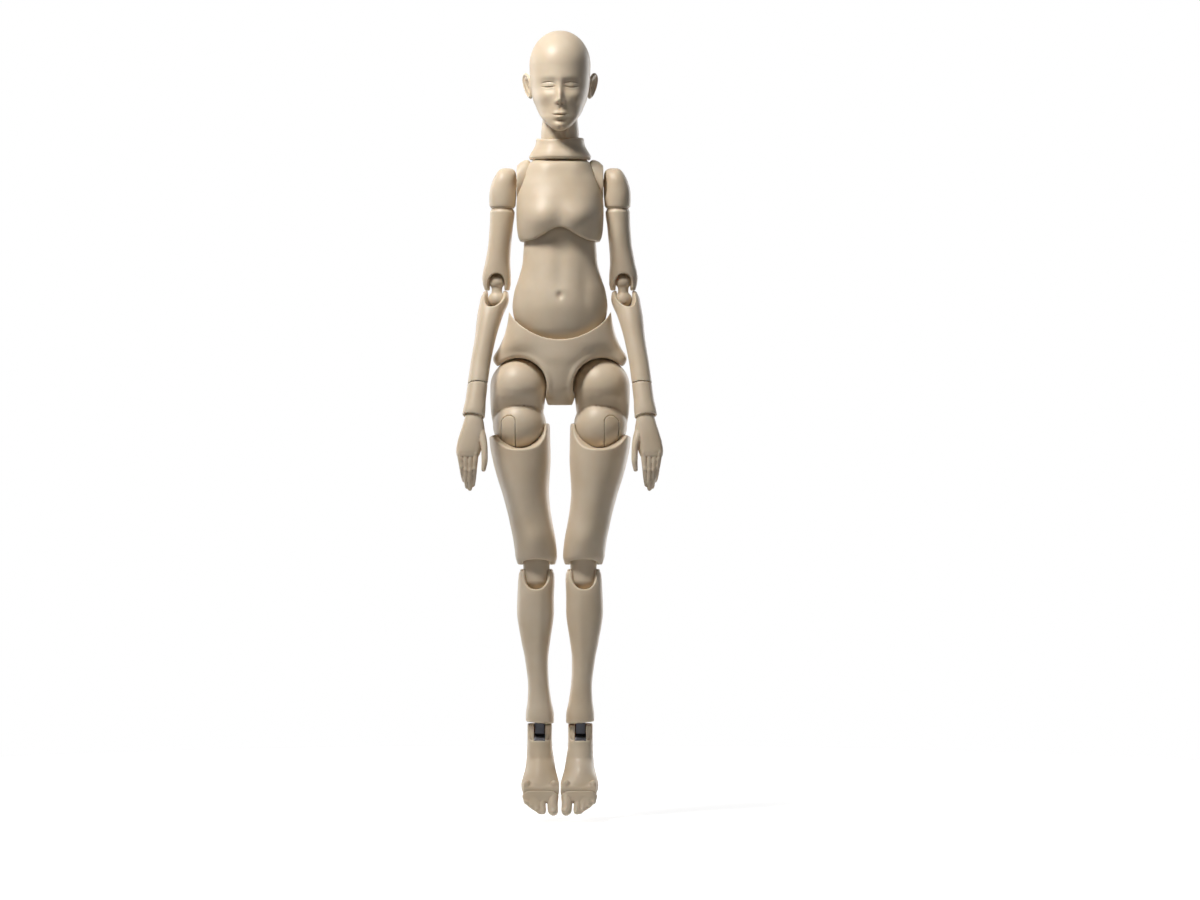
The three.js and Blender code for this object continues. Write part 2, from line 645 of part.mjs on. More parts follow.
function wristCuff() {
  const top = -FOREARM - CLEARANCE;
  const pin = -FOREARM - CUFF;
  const walls = [[top - CUFF_ROUND, ...CUFF_WALL], [top, ...CUFF_RIM]].map(([z, wide, deep]) => {
    return ring(z, wide, deep, deep, CUFF_TURN);
  });
  const peg = tube(CUFF_PEG, top, top + CUFF_PEG_LENGTH, CUFF_TURN);
  const body = skin([...endRings(WRIST_END, WRIST_WIDE, pin, -1, WRIST_OUT), ...walls, ...peg]);
  const slot = linkSlot(HAND_TONGUE_RADIUS, HAND_TONGUE_WIDE, -1, WRIST_OUT, 0, pin);
  return cut(body, slot, pinBore(HAND_TONGUE_WIDE, WRIST_OUT, 0, pin));
}

function hand() {
  const palm = skin(PALM_SECTIONS.map(([z, wide, deep, x]) => ring(z, wide, deep, deep, x)));
  const fingers = FINGER_LENGTHS.map((length, i) => {
    const x = FINGER_FIRST + i * FINGER_PITCH;
    const draw = FINGER_DRAW * (x - FINGER_MIDDLE);
    const route = FINGER_SHARES.map((share) => {
      const down = FINGER_ROOT - share * (length + FINGER_OVERLAP);
      return [x - draw * share, FINGER_BACK + FINGER_CURL * share ** 2, down];
    });
    return digit(route, FINGER_RADIUS);
  });
  const tongue = plate(linkShape(HAND_TONGUE_RADIUS, HAND_TONGUE_SPAN), 2 * HAND_TONGUE_WIDE, ACROSS_X);
  const whole = join(palm, ...fingers, digit(THUMB_ROUTE, THUMB_RADIUS), tongue);
  return cut(whole, bore(AXIS_X, PIN_RADIUS, FAR));
}

function arm(chest, side) {
  const name = side > 0 ? 'left' : 'right';
  const add = (group, piece, shape, material) => place(group, `${name}_${piece}`, shape, material, side);
  const inner = joint(chest, side * CLAVICLE_OUT, SHOULDER_BACK, CLAVICLE_UP);
  add(inner, 'clavicle', clavicle());
  const shoulder = joint(chest, side * SHOULDER_OUT, SHOULDER_BACK, SHOULDER_UP);
  add(shoulder, 'shoulder_ball', axleBall(SHOULDER_BALL, SHOULDER_AXLE, SHOULDER_AXLE_LENGTH));
  add(shoulder, 'deltoid', deltoid());
  add(shoulder, 'upper_arm', upperArm());
  const elbow = joint(shoulder, side * ELBOW_OUT, 0, -UPPER_ARM);
  add(elbow, 'elbow_pin_upper', crossPin(ELBOW_LINK_WIDE), METAL);
  add(elbow, 'elbow_link', link(ELBOW_LINK_RADIUS, ELBOW_LINK_WIDE, ELBOW_SPAN));
  const lowerElbow = joint(elbow, 0, 0, -ELBOW_SPAN);
  lowerElbow.rotation.x = -degToRad(FOREARM_BEND);
  add(lowerElbow, 'elbow_pin_lower', crossPin(ELBOW_LINK_WIDE), METAL);
  add(lowerElbow, 'forearm', forearm());
  add(lowerElbow, 'wrist_cuff', wristCuff());
  const wrist = joint(lowerElbow, side * WRIST_OUT, 0, -FOREARM - CUFF);
  wrist.rotation.x = degToRad(HAND_BEND);
  add(wrist, 'wrist_pin', crossPin(HAND_TONGUE_WIDE), METAL);
  add(wrist, 'hand', hand());
}

// Legs

function upperThigh() {
  const [ballX, ballZ] = THIGH_BALL_PLACE;
  const low = ballRings(THIGH_BALL, -POLE, THIGH_LATITUDE, ballZ, ballX);
  const high = ballRings(HIP_RADIUS, -THIGH_LATITUDE, POLE);
  const middle = ring(ballZ / 2, THIGH_NECK, THIGH_NECK, THIGH_NECK, ballX / 2);
  const body = skin([...low, middle, ...high], FINE_SIDES);
  const pad = HIP_AXLE + CLEARANCE;
  const axleSlot = plate(slice(HIP_RADIUS + OVERCUT, pad, INWARD - HIP_SPREAD, INWARD), 2 * pad, ACROSS_Y);
  const swing = slice(THIGH_BALL + OVERCUT, CLEARANCE, TONGUE_FRONT, TONGUE_BEHIND + TONGUE_SWING);
  const slotWide = TONGUE_WIDE + 2 * CLEARANCE;
  const hubBore = bore(AXIS_X, TONGUE_HUB, slotWide, 0, 0, 0, SIDES);
  const tongueSlot = join(plate(swing, slotWide, ACROSS_X), hubBore);
  tongueSlot.translate(ballX + TONGUE_OUT, 0, ballZ);
  const pin = bore(AXIS_X, PIN_RADIUS, thighPinLength() + 2 * CLEARANCE, ballX + TONGUE_OUT, 0, ballZ);
  return cut(body, socket(HIP_BALL), axleSlot, tongueSlot, pin);
}

function thighPinLength() {
  return TONGUE_WIDE + 2 * (CLEARANCE + PIN_SEAT);
}

function thighTongue() {
  const wedge = plate(slice(THIGH_BALL + OVERCUT, 0, TONGUE_FRONT, TONGUE_BEHIND), TONGUE_WIDE, ACROSS_X);
  const ball = new THREE.SphereGeometry(THIGH_BALL, FINE_SIDES, FINE_SIDES / 2);
  const blade = keep(wedge.translate(TONGUE_OUT, 0, 0), ball).translate(-TONGUE_OUT, 0, 0);
  const hub = rod(AXIS_X, TONGUE_HUB, TONGUE_WIDE, 0, 0, 0, SIDES);
  const stemTall = TURNTABLE_TOP + TURNTABLE_THICK / 2 - TONGUE_STEM_TOP;
  const stem = box(TONGUE_WIDE, TONGUE_STEM_DEEP, stemTall, 0, 0, -TONGUE_STEM_TOP - stemTall / 2);
  const upright = join(blade, hub, stem).translate(TONGUE_OUT, 0, 0);
  const discZ = -TURNTABLE_TOP - TURNTABLE_THICK / 2;
  const disc = rod(AXIS_Z, TURNTABLE_RADIUS, TURNTABLE_THICK, 0, 0, discZ, SIDES);
  const peg = rod(AXIS_Z, TURNTABLE_PEG, TURNTABLE_PEG_LENGTH, 0, 0, discZ - TURNTABLE_PEG_LENGTH / 2);
  return cut(join(disc, peg, upright), bore(AXIS_X, PIN_RADIUS, FAR));
}

function lowerThigh() {
  const end = endRings(KNEE_END, KNEE_WIDE, -LOWER_THIGH, -1, KNEE_IN);
  const sections = LOWER_THIGH_SECTIONS.map(([share, ...section]) => ring(-share * LOWER_THIGH, ...section));
  const { wide, front, back } = sections[sections.length - 1];
  const rim = ring(CUP_RIM, wide - CUP_TAPER, front - CUP_TAPER, back - CUP_TAPER);
  const body = skin([...end, ...sections, rim], FINE_SIDES);
  const tableFoot = -TURNTABLE_TOP - TURNTABLE_THICK - CLEARANCE;
  const table = bore(AXIS_Z, TURNTABLE_RADIUS, -tableFoot, 0, 0, tableFoot / 2, SIDES);
  const pegFoot = -TURNTABLE_TOP - TURNTABLE_THICK / 2 - TURNTABLE_PEG_LENGTH - CLEARANCE;
  const peg = bore(AXIS_Z, TURNTABLE_PEG, -pegFoot, 0, 0, pegFoot / 2);
  const scoop = (dip, way) => {
    const middle = way * (FAR / 2 + TURNTABLE_PEG);
    return rod(AXIS_Y, CUP_SCOOP, FAR, 0, middle, CUP_SCOOP - dip, FINE_SIDES);
  };
  const slot = linkSlot(KNEE_LINK_RADIUS, KNEE_LINK_WIDE, -1, KNEE_IN, 0, -LOWER_THIGH);
  const pin = pinBore(KNEE_LINK_WIDE, KNEE_IN, 0, -LOWER_THIGH);
  const cup = [socket(THIGH_BALL), scoop(CUP_FRONT_DIP, -1), scoop(CUP_BACK_DIP, 1)];
  return cut(body, ...cup, table, peg, slot, pin);
}

function shin() {
  const [turnX, turnY] = ANKLE_PLACE;
  const boreTop = ANKLE_PEG_LENGTH + CLEARANCE - SHIN;
  const peg = tube(ANKLE_PEG + CLEARANCE, boreTop, -SHIN, turnX, turnY);
  const sections = SHIN_SECTIONS.map(([share, ...section]) => ring(-share * SHIN, ...section));
  const end = endRings(KNEE_END, SHIN_TOP_WIDE, 0, 1);
  const body = skin([...peg, ring(-SHIN, ...SHIN_RIM), ...sections, ...end]);
  return cut(body, linkSlot(KNEE_LINK_RADIUS, KNEE_LINK_WIDE, 1), pinBore(KNEE_LINK_WIDE));
}

function ankleBlock() {
  const neckTop = ANKLE_DOWN - SHIN - CLEARANCE;
  const knuckle = rod(AXIS_X, ANKLE_RADIUS, 2 * ANKLE_WIDE, 0, 0, 0, SIDES);
  const neckBox = box(2 * ANKLE_WIDE, 2 * ANKLE_RADIUS, neckTop, 0, 0, neckTop / 2);
  const pegMiddle = neckTop + (ANKLE_PEG_LENGTH - ANKLE_PEG_ROOT) / 2;
  const peg = rod(AXIS_Z, ANKLE_PEG, ANKLE_PEG_LENGTH + ANKLE_PEG_ROOT, 0, 0, pegMiddle);
  return cut(join(neckBox, knuckle, peg), bore(AXIS_X, PIN_RADIUS, FAR));
}

function foot() {
  const [toeX, toeY, toeZ] = TOE_PLACE;
  const [rimWide, rimDeep] = FOOT_RIM;
  const sections = FOOT_SECTIONS.map((section) => ring(...section));
  const end = endRings(TOE_END, TOE_WIDE, toeZ, -1, toeX, toeY);
  const body = skin([...end, ...sections, ring(FOOT_TOP, rimWide, rimDeep)]);
  const ankleSlot = linkSlot(ANKLE_RADIUS, ANKLE_WIDE, 1);
  const toeSlot = linkSlot(TOE_KNUCKLE, TOE_KNUCKLE_WIDE, -1, toeX, toeY, toeZ);
  const toeBore = bore(AXIS_X, PIN_RADIUS, FAR, toeX, toeY, toeZ);
  return cut(body, ankleSlot, pinBore(ANKLE_WIDE), toeSlot, toeBore);
}

function toes() {
  const base = skin(TOE_BASE_SECTIONS.map(([z, wide, deep, y]) => ring(z, wide, deep, deep, 0, y)));
  const tips = TOE_LENGTHS.map((length, i) => {
    const route = TOE_SHARES.map((share) => [TOE_OUT[i], -TOE_SLOPE * length * share, -length * share]);
    return digit(route, TOE_RADII[i]);
  });
  const knuckle = plate(linkShape(TOE_KNUCKLE, TOE_KNUCKLE_SPAN), 2 * TOE_KNUCKLE_WIDE, ACROSS_X);
  return cut(join(base, ...tips, knuckle), bore(AXIS_X, PIN_RADIUS, FAR));
}

function leg(body, side) {
  const name = side > 0 ? 'left' : 'right';
  const add = (group, piece, shape, material) => place(group, `${name}_${piece}`, shape, material, side);
  const hip = joint(body, side * HIP_OUT, HIP_BACK, HIP_UP);
  add(hip, 'hip_ball', axleBall(HIP_BALL, HIP_AXLE, HIP_OUT - HIP_AXLE_GAP));
  add(hip, 'upper_thigh', upperThigh());
  const thigh = joint(hip, side * THIGH_BALL_PLACE[0], 0, THIGH_BALL_PLACE[1]);
  const pinGroup = joint(thigh, side * TONGUE_OUT, 0, 0);
  add(pinGroup, 'thigh_pin', rod(AXIS_X, PIN_RADIUS, thighPinLength()), METAL);
  add(thigh, 'thigh_tongue', thighTongue());
  add(thigh, 'lower_thigh', lowerThigh());
  const knee = joint(thigh, side * KNEE_IN, 0, -LOWER_THIGH);
  add(knee, 'knee_pin_upper', crossPin(KNEE_LINK_WIDE), METAL);
  add(knee, 'knee_link', link(KNEE_LINK_RADIUS, KNEE_LINK_WIDE, KNEE_SPAN));
  const lowerKnee = joint(knee, 0, 0, -KNEE_SPAN);
  add(lowerKnee, 'knee_pin_lower', crossPin(KNEE_LINK_WIDE), METAL);
  add(lowerKnee, 'shin', shin());
  const ankle = joint(lowerKnee, side * ANKLE_PLACE[0], ANKLE_PLACE[1], -ANKLE_DOWN);
  add(ankle, 'ankle_block', ankleBlock(), METAL);
  add(ankle, 'ankle_pin', crossPin(ANKLE_WIDE), METAL);
  add(ankle, 'foot', foot());
  const toe = joint(ankle, side * TOE_PLACE[0], TOE_PLACE[1], TOE_PLACE[2]);
  add(toe, 'toe_pin', rod(AXIS_X, PIN_RADIUS, TOE_PIN_LENGTH), METAL);
  add(toe, 'toes', toes());
}

// The whole figure

const figure = new THREE.Group();
place(figure, 'pelvis', pelvis());
const waist = joint(figure, 0, 0, WAIST_HEIGHT);
place(waist, 'waist_post', waistPost());
place(waist, 'abdomen', abdomen());
const chest = joint(waist, 0, 0, WAIST_TO_CHEST);
const shells = chestShells();
place(chest, 'chest_front', shells.front);
place(chest, 'chest_back', shells.back);
place(chest, 'chest_pin', chestPin(), METAL);
const neckBase = joint(chest, 0, NECK_BACK, CHEST_TO_COLLAR);
place(neckBase, 'collar', collar());
place(neckBase, 'neck', neck());
const skull = joint(neckBase, 0, 0, COLLAR_TO_SKULL);
place(skull, 'head', head());
[1, -1].forEach((side) => {
  arm(chest, side);
  leg(figure, side);
});

export default figure;
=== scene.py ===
"""Ball-jointed resin figure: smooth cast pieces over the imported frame, in the frame's own places.

Lengths are millimetres until a mesh is written. The figure faces -Y and its left side is +X.
"""
import json
import math
import bpy
import numpy as np
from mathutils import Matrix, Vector


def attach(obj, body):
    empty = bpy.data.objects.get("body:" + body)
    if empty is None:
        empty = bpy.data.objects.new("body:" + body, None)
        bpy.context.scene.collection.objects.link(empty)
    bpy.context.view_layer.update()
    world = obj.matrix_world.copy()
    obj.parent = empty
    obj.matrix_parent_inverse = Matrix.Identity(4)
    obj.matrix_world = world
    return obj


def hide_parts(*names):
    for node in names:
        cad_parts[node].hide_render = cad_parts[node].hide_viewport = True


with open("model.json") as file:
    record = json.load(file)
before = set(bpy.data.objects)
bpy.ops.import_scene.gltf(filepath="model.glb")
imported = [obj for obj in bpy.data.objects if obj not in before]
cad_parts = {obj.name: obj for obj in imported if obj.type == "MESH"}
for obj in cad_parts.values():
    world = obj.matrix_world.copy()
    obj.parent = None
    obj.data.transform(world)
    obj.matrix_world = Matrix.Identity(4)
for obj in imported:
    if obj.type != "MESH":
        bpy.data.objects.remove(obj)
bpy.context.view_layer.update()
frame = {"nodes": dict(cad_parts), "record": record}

MM = 0.001
GAP = 0.3
LEFT, RIGHT = 1, -1
SIDE = {LEFT: "left", RIGHT: "right"}

# Joint centres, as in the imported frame
WAIST = np.array([0, 0, 42.4])
RIBS = np.array([0, 0, 65.7])
COLLAR = np.array([0, 2, 91.5])
SKULL = np.array([0, 2, 116.0])
CLAVICLE = np.array([12.3, 2, 86.5])
SHOULDER = np.array([21.6, 2, 85.0])
ELBOW_TOP = np.array([24.2, 2, 48.8])
ELBOW_LOW = np.array([24.2, 2, 40.0])
HIP = np.array([15.9, 1, 7.0])
THIGH = np.array([15.5, 1, -7.7])
KNEE_TOP = np.array([9.0, 1, -57.9])
KNEE_LOW = np.array([9.0, 1, -67.1])
ANKLE = np.array([7.8, 1.5, -129.5])
TOE = np.array([7.3, -9.0, -146.2])
FOREARM_BEND = math.radians(-20)
HAND_BEND = math.radians(-10)
WRIST_LOCAL = np.array([8.3, 0, -45])

# Radii of the balls and knuckles at the joints
WAIST_BALL = 20.2
COLLAR_BALL = 6.3
SHOULDER_BALL = 6.3
HIP_BALL = 10.8
LEG_OUTLINE = 10.95
THIGH_BALL = 10.2
ANKLE_TURN = 3.5
TOE_TURN = 2.5


# Surfaces

def through(stations, at):
    """Section values at any height: monotone cubic curves through a table of height, value, value..."""
    table = np.array(sorted(stations), float)
    height, value = table[:, 0], table[:, 1:]
    span = np.diff(height)[:, None]
    slope = np.diff(value, axis=0) / span
    before, after = slope[:-1], slope[1:]
    same = before * after > 0
    inner = np.where(same, 2 * before * after / np.where(same, before + after, 1), 0)
    tangent = np.vstack([slope[:1], inner, slope[-1:]])
    flat = np.ravel(at)
    i = np.clip(np.searchsorted(height, flat) - 1, 0, len(span) - 1)
    t = np.clip((flat - height[i])[:, None] / span[i], 0, 1)
    curve = ((1 + 2 * t) * (1 - t) ** 2 * value[i] + t * (1 - t) ** 2 * span[i] * tangent[i]
             + t ** 2 * (3 - 2 * t) * value[i + 1] + t ** 2 * (t - 1) * span[i] * tangent[i + 1])
    return curve.reshape(np.shape(at) + (value.shape[1],))


def even(angle):
    """The edge of a plain end: no height at any angle around the limb."""
    return 0 * angle


def dome(radius, shape=1.0, lift=even):
    """A closed end: height = radius sin a, size = (cos a)^shape, for a from 0 to a quarter turn.

    lift gives the height of the end's edge at each angle around the limb.
    """
    a = np.linspace(0, np.pi / 2, 14)[1:]
    return {"rise": radius * np.sin(a), "inset": 0 * a, "size": np.cos(a) ** shape, "sink": 0 * a,
            "lift": lift, "pole": radius}


FLAT_END = dome(0.05)


def cup(wall, depth, lift=even):
    """An open end: a half-round lip of the wall's thickness, then a bowl that closes at its pole.

    Lip: height = w/2 sin a, inset = w/2 (1 - cos a). Bowl: size = cos b, sunk by depth sin b.
    A depth below zero makes a bulge, which closes a seam from inside. lift is as in dome.
    """
    a = np.linspace(0, np.pi, 9)[1:]
    b = np.linspace(0, np.pi / 2, 12)[1:]
    rise = np.concatenate([wall / 2 * np.sin(a), 0 * b])
    inset = np.concatenate([wall / 2 * (1 - np.cos(a)), np.full(b.shape, wall)])
    size = np.concatenate([np.ones(a.shape), np.cos(b)])
    sink = np.concatenate([0 * a, np.sin(b)])
    return {"rise": rise, "inset": inset, "size": size, "sink": sink, "lift": lift, "pole": -depth}


def station(height, wide, front, back=None, x=0.0, y=0.0):
    """One section of a limb: as deep behind as in front unless it says otherwise."""
    return (height, wide, front, front if back is None else back, x, y)


def limb(stations, bottom, top, rows=64, columns=96, power=2.0):
    """A closed limb: rounded sections between two ends, P(height, angle).

    x = X + W c(angle) and y = Y + D s(angle), with the front depth where s < 0 and the back depth
    elsewhere. c and s are cosine and sine raised to 2/power. Each station is
    height, half width, front, back, x, y, and the ends trim the wall at their own lip curves.
    """
    full = [station(*row) for row in stations]
    heights = [row[0] for row in full]
    low, high = min(heights), max(heights)
    angle = np.arange(columns) * 2 * np.pi / columns
    c = np.sign(np.cos(angle)) * np.abs(np.cos(angle)) ** (2 / power)
    s = np.sign(np.sin(angle)) * np.abs(np.sin(angle)) ** (2 / power)
    share = (0.5 - 0.5 * np.cos(np.linspace(0, np.pi, rows)))[:, None]
    floor, roof = low + bottom["lift"](angle), high + top["lift"](angle)
    wall_z = floor + (roof - floor) * share
    parts = []
    for end, edge, level, way in ((bottom, floor, low, -1), (top, roof, high, 1)):
        sink = end["sink"][:, None]
        z = (edge + way * end["rise"][:, None]) * (1 - sink) + (level + way * end["pole"]) * sink
        parts.append((z, np.broadcast_to(edge, z.shape), end["inset"][:, None], end["size"][:, None]))
    outer = (wall_z, wall_z, np.zeros((rows, 1)), np.ones((rows, 1)))
    ordered = [tuple(table[::-1] for table in parts[0]), outer, parts[1]]
    z, at, inset, size = (np.concatenate([np.broadcast_to(part[k], part[0].shape) for part in ordered])
                          for k in range(4))
    wide, front, back, x, y = np.moveaxis(through(full, at), -1, 0)
    deep = np.where(s < 0, front, back)
    across = np.maximum(wide - inset, 0) * size
    along = np.maximum(deep - inset, 0) * size
    middle = (back - front) / 2 * (1 - size)
    grid = np.stack([x + across * c, y + middle + along * s, z], axis=-1)
    for row in (0, -1):
        grid[row] = grid[row].mean(axis=0)
    return grid


def ball(radius, centre=(0, 0, 0), rows=48, columns=72, stretch=(1, 1, 1)):
    """A ball or egg: P = centre + radius (cos b cos a, cos b sin a, sin b) stretched along each axis."""
    a = np.arange(columns) * 2 * np.pi / columns
    b = np.linspace(-np.pi / 2, np.pi / 2, rows)[:, None]
    unit = np.stack([np.cos(b) * np.cos(a), np.cos(b) * np.sin(a), np.sin(b) + 0 * a], axis=-1)
    return np.array(centre) + radius * unit * np.array(stretch)


def tube(path, radius, sides):
    """A digit: a round profile carried along a path of points, closed by round ends.

    The path is drawn through the points on cubic curves. P = path + r (cos a across + sin a up).
    """
    points = np.array(path, float)
    reach = np.concatenate([[0], np.cumsum(np.linalg.norm(np.diff(points, axis=0), axis=1))])
    at = np.linspace(0, reach[-1], 40)
    line = through(np.column_stack([reach, points]).tolist(), at)
    size = through(np.column_stack([reach, radius]).tolist(), at)[:, 0]
    tangent = np.gradient(line, axis=0)
    tangent /= np.linalg.norm(tangent, axis=1)[:, None]
    across = np.cross(tangent, (0, 1, 0))
    across /= np.linalg.norm(across, axis=1)[:, None]
    up = np.cross(tangent, across)
    b = np.linspace(0, np.pi / 2, 9)[1:]
    first = line[0] - tangent[0] * size[0] * np.sin(b)[::-1, None]
    last = line[-1] + tangent[-1] * size[-1] * np.sin(b)[:, None]
    spine = np.concatenate([first, line, last])
    wide = np.concatenate([size[0] * np.cos(b)[::-1], size, size[-1] * np.cos(b)])
    edge = (len(b), len(b))
    across = np.pad(across, (edge, (0, 0)), mode="edge")
    up = np.pad(up, (edge, (0, 0)), mode="edge")
    a = np.arange(sides) * 2 * np.pi / sides
    ring = across[:, None] * np.cos(a)[:, None] + up[:, None] * np.sin(a)[:, None]
    return spine[:, None] + wide[:, None, None] * ring


def swell(grid, centre, radii, push):
    """Moves a surface by push times a soft hill, exp of minus the squared distance over the radii."""
    away = (grid - np.array(centre)) / np.array(radii)
    return grid + np.exp(-(away ** 2).sum(axis=-1))[..., None] * np.array(push)


def tilt(grid, turn):
    """Turns a surface about the X axis."""
    y = grid[..., 1] * math.cos(turn) - grid[..., 2] * math.sin(turn)
    z = grid[..., 1] * math.sin(turn) + grid[..., 2] * math.cos(turn)
    return np.stack([grid[..., 0], y, z], axis=-1)


def sideways(grid):
    """Lays an upright surface along +X: height becomes x, x becomes -z."""
    return np.stack([grid[..., 2], grid[..., 1], -grid[..., 0]], axis=-1)


# Meshes

def write_mesh(name, grids):
    """Writes closed grids as one mesh: quads between rows, fans at the first and last row's points."""
    points, corners, sizes, first = [], [], [], 0
    for grid in grids:
        rows, columns = grid.shape[:2]
        index = first + 1 + np.arange((rows - 2) * columns).reshape(rows - 2, columns)
        beside = np.roll(index, -1, axis=1)
        quads = np.stack([index[:-1], beside[:-1], beside[1:], index[1:]], axis=-1).reshape(-1, 4)
        last = first + 1 + (rows - 2) * columns
        low = np.stack([np.full(columns, first), beside[0], index[0]], axis=-1)
        high = np.stack([np.full(columns, last), index[-1], beside[-1]], axis=-1)
        points.append(np.concatenate([grid[0, :1], grid[1:-1].reshape(-1, 3), grid[-1, :1]]))
        corners += [quads.ravel(), low.ravel(), high.ravel()]
        sizes += [np.full(len(quads), 4), np.full(2 * columns, 3)]
        first = last + 1
    place = np.concatenate(points) * MM
    corner, size = np.concatenate(corners), np.concatenate(sizes)
    mesh = bpy.data.meshes.new(name)
    mesh.vertices.add(len(place))
    mesh.vertices.foreach_set("co", place.ravel())
    mesh.loops.add(len(corner))
    mesh.loops.foreach_set("vertex_index", corner)
    mesh.polygons.add(len(size))
    mesh.polygons.foreach_set("loop_start", np.concatenate([[0], np.cumsum(size)[:-1]]))
    mesh.update(calc_edges=True)
    return mesh


def mirrored(grids, side):
    """The same surfaces on the figure's other side: x changes sign and the columns run back."""
    return grids if side > 0 else [(grid * np.array([-1, 1, 1]))[:, ::-1] for grid in grids]


def add(name, data):
    """Puts a new object into the scene, at the origin."""
    made = bpy.data.objects.new(name, data)
    bpy.context.collection.objects.link(made)
    return made


def cast(made, modifiers):
    """Gives an object the shape that its modifiers make, and takes the modifiers off."""
    bpy.context.view_layer.update()
    shaped = bpy.data.meshes.new_from_object(made.evaluated_get(bpy.context.evaluated_depsgraph_get()))
    for modifier in modifiers:
        made.modifiers.remove(modifier)
    made.data = shaped


def carve(made, cutters):
    """Cuts an object with other closed surfaces, one after another, and takes the cutters away."""
    tools, modifiers = [], []
    for grids in cutters:
        tool = add("cutter", write_mesh("cutter", grids))
        modifier = made.modifiers.new("cut", "BOOLEAN")
        modifier.operation, modifier.solver, modifier.object = "DIFFERENCE", "EXACT", tool
        tools.append(tool)
        modifiers.append(modifier)
    cast(made, modifiers)
    for tool in tools:
        bpy.data.objects.remove(tool)


def soften(made, voxel, rounds):
    """Runs joined or cut surfaces into one skin with soft edges, about a voxel in radius."""
    skin = made.modifiers.new("skin", "REMESH")
    skin.mode, skin.voxel_size, skin.adaptivity = "VOXEL", voxel * MM, 0
    smooth = made.modifiers.new("smooth", "SMOOTH")
    smooth.factor, smooth.iterations = 0.5, rounds
    cast(made, [skin, smooth])


def mark_edges(mesh):
    """Writes the attribute "edge": mean curvature in 1/mm, above zero on rims and below in creases.

    Along each mesh edge it is (n2 - n1).(p2 - p1) / |p2 - p1|^2, averaged at the points and then
    with their neighbours.
    """
    count = len(mesh.vertices)
    place, normal = np.empty(count * 3), np.empty(count * 3)
    mesh.vertices.foreach_get("co", place)
    mesh.vertex_normals.foreach_get("vector", normal)
    ends = np.empty(len(mesh.edges) * 2, np.int32)
    mesh.edges.foreach_get("vertices", ends)
    place, normal, (a, b) = place.reshape(-1, 3) / MM, normal.reshape(-1, 3), ends.reshape(-1, 2).T
    step = place[b] - place[a]
    bend = ((normal[b] - normal[a]) * step).sum(axis=1) / np.maximum((step ** 2).sum(axis=1), 1e-4)
    share = np.maximum(np.bincount(a, minlength=count) + np.bincount(b, minlength=count), 1)
    value = (np.bincount(a, bend, count) + np.bincount(b, bend, count)) / share
    for _ in range(4):
        near = np.bincount(a, value[b], count) + np.bincount(b, value[a], count)
        value = 0.4 * value + 0.6 * near / share
    layer = mesh.attributes.new("edge", "FLOAT", "POINT")
    layer.data.foreach_set("value", np.clip(value, -2, 2).astype(np.float32))


def piece(name, grids, body, node=None, cuts=(), voxel=None, rounds=3, side=LEFT, slot="resin"):
    """Makes one finished piece: closed surfaces, cut and softened where asked, riding on its body.

    Several surfaces are run into one skin before they are cut. node is the solid that the piece replaces.
    """
    made = add(name, write_mesh(name, mirrored(grids, side)))
    if cuts and len(grids) > 1:
        soften(made, voxel, 1)
    if cuts:
        carve(made, [mirrored(cut, side) for cut in cuts])
    if voxel:
        soften(made, voxel, rounds)
    made.data.name = name
    made.data.shade_smooth()
    mark_edges(made.data)
    made.data.materials.clear()
    made.data.materials.append(FINISH[slot])
    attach(made, body)
    if node:
        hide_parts(node)


def side_piece(side, name, grids, body, **options):
    """Makes a piece of one side. It rides on a body of that side and replaces the solid with the body's name."""
    own = f"{SIDE[side]}_{body}"
    piece(f"{SIDE[side]}_{name}", grids, own, own, side=side, **options)


# Finishes

def socket_pair(group, inputs, outputs):
    """Names a node group's sockets, each given with its kind, and returns its two end nodes."""
    for name, kind in inputs.items():
        group.interface.new_socket(name, in_out="INPUT", socket_type=kind)
    for name, kind in outputs.items():
        group.interface.new_socket(name, in_out="OUTPUT", socket_type=kind)
    return group.nodes.new("NodeGroupInput"), group.nodes.new("NodeGroupOutput")


def ramp(nodes, links, value, low, high, to_low=0.0, to_high=1.0):
    """Carries a value from one span to another, kept inside it."""
    span = nodes.new("ShaderNodeMapRange")
    for name, number in (("From Min", low), ("From Max", high), ("To Min", to_low), ("To Max", to_high)):
        span.inputs[name].default_value = number
    links.new(value, span.inputs["Value"])
    return span.outputs["Result"]


def blend_colour(nodes, links, share, under, over):
    """Mixes two colours, each a socket or a plain colour."""
    mix = nodes.new("ShaderNodeMix")
    mix.data_type = "RGBA"
    links.new(share, mix.inputs["Factor"])
    for tone, name in ((under, "A"), (over, "B")):
        target = next(s for s in mix.inputs if s.name == name and s.type == "RGBA")
        if isinstance(tone, tuple):
            target.default_value = tone + (1.0,)
        else:
            links.new(tone, target)
    return next(s for s in mix.outputs if s.type == "RGBA")


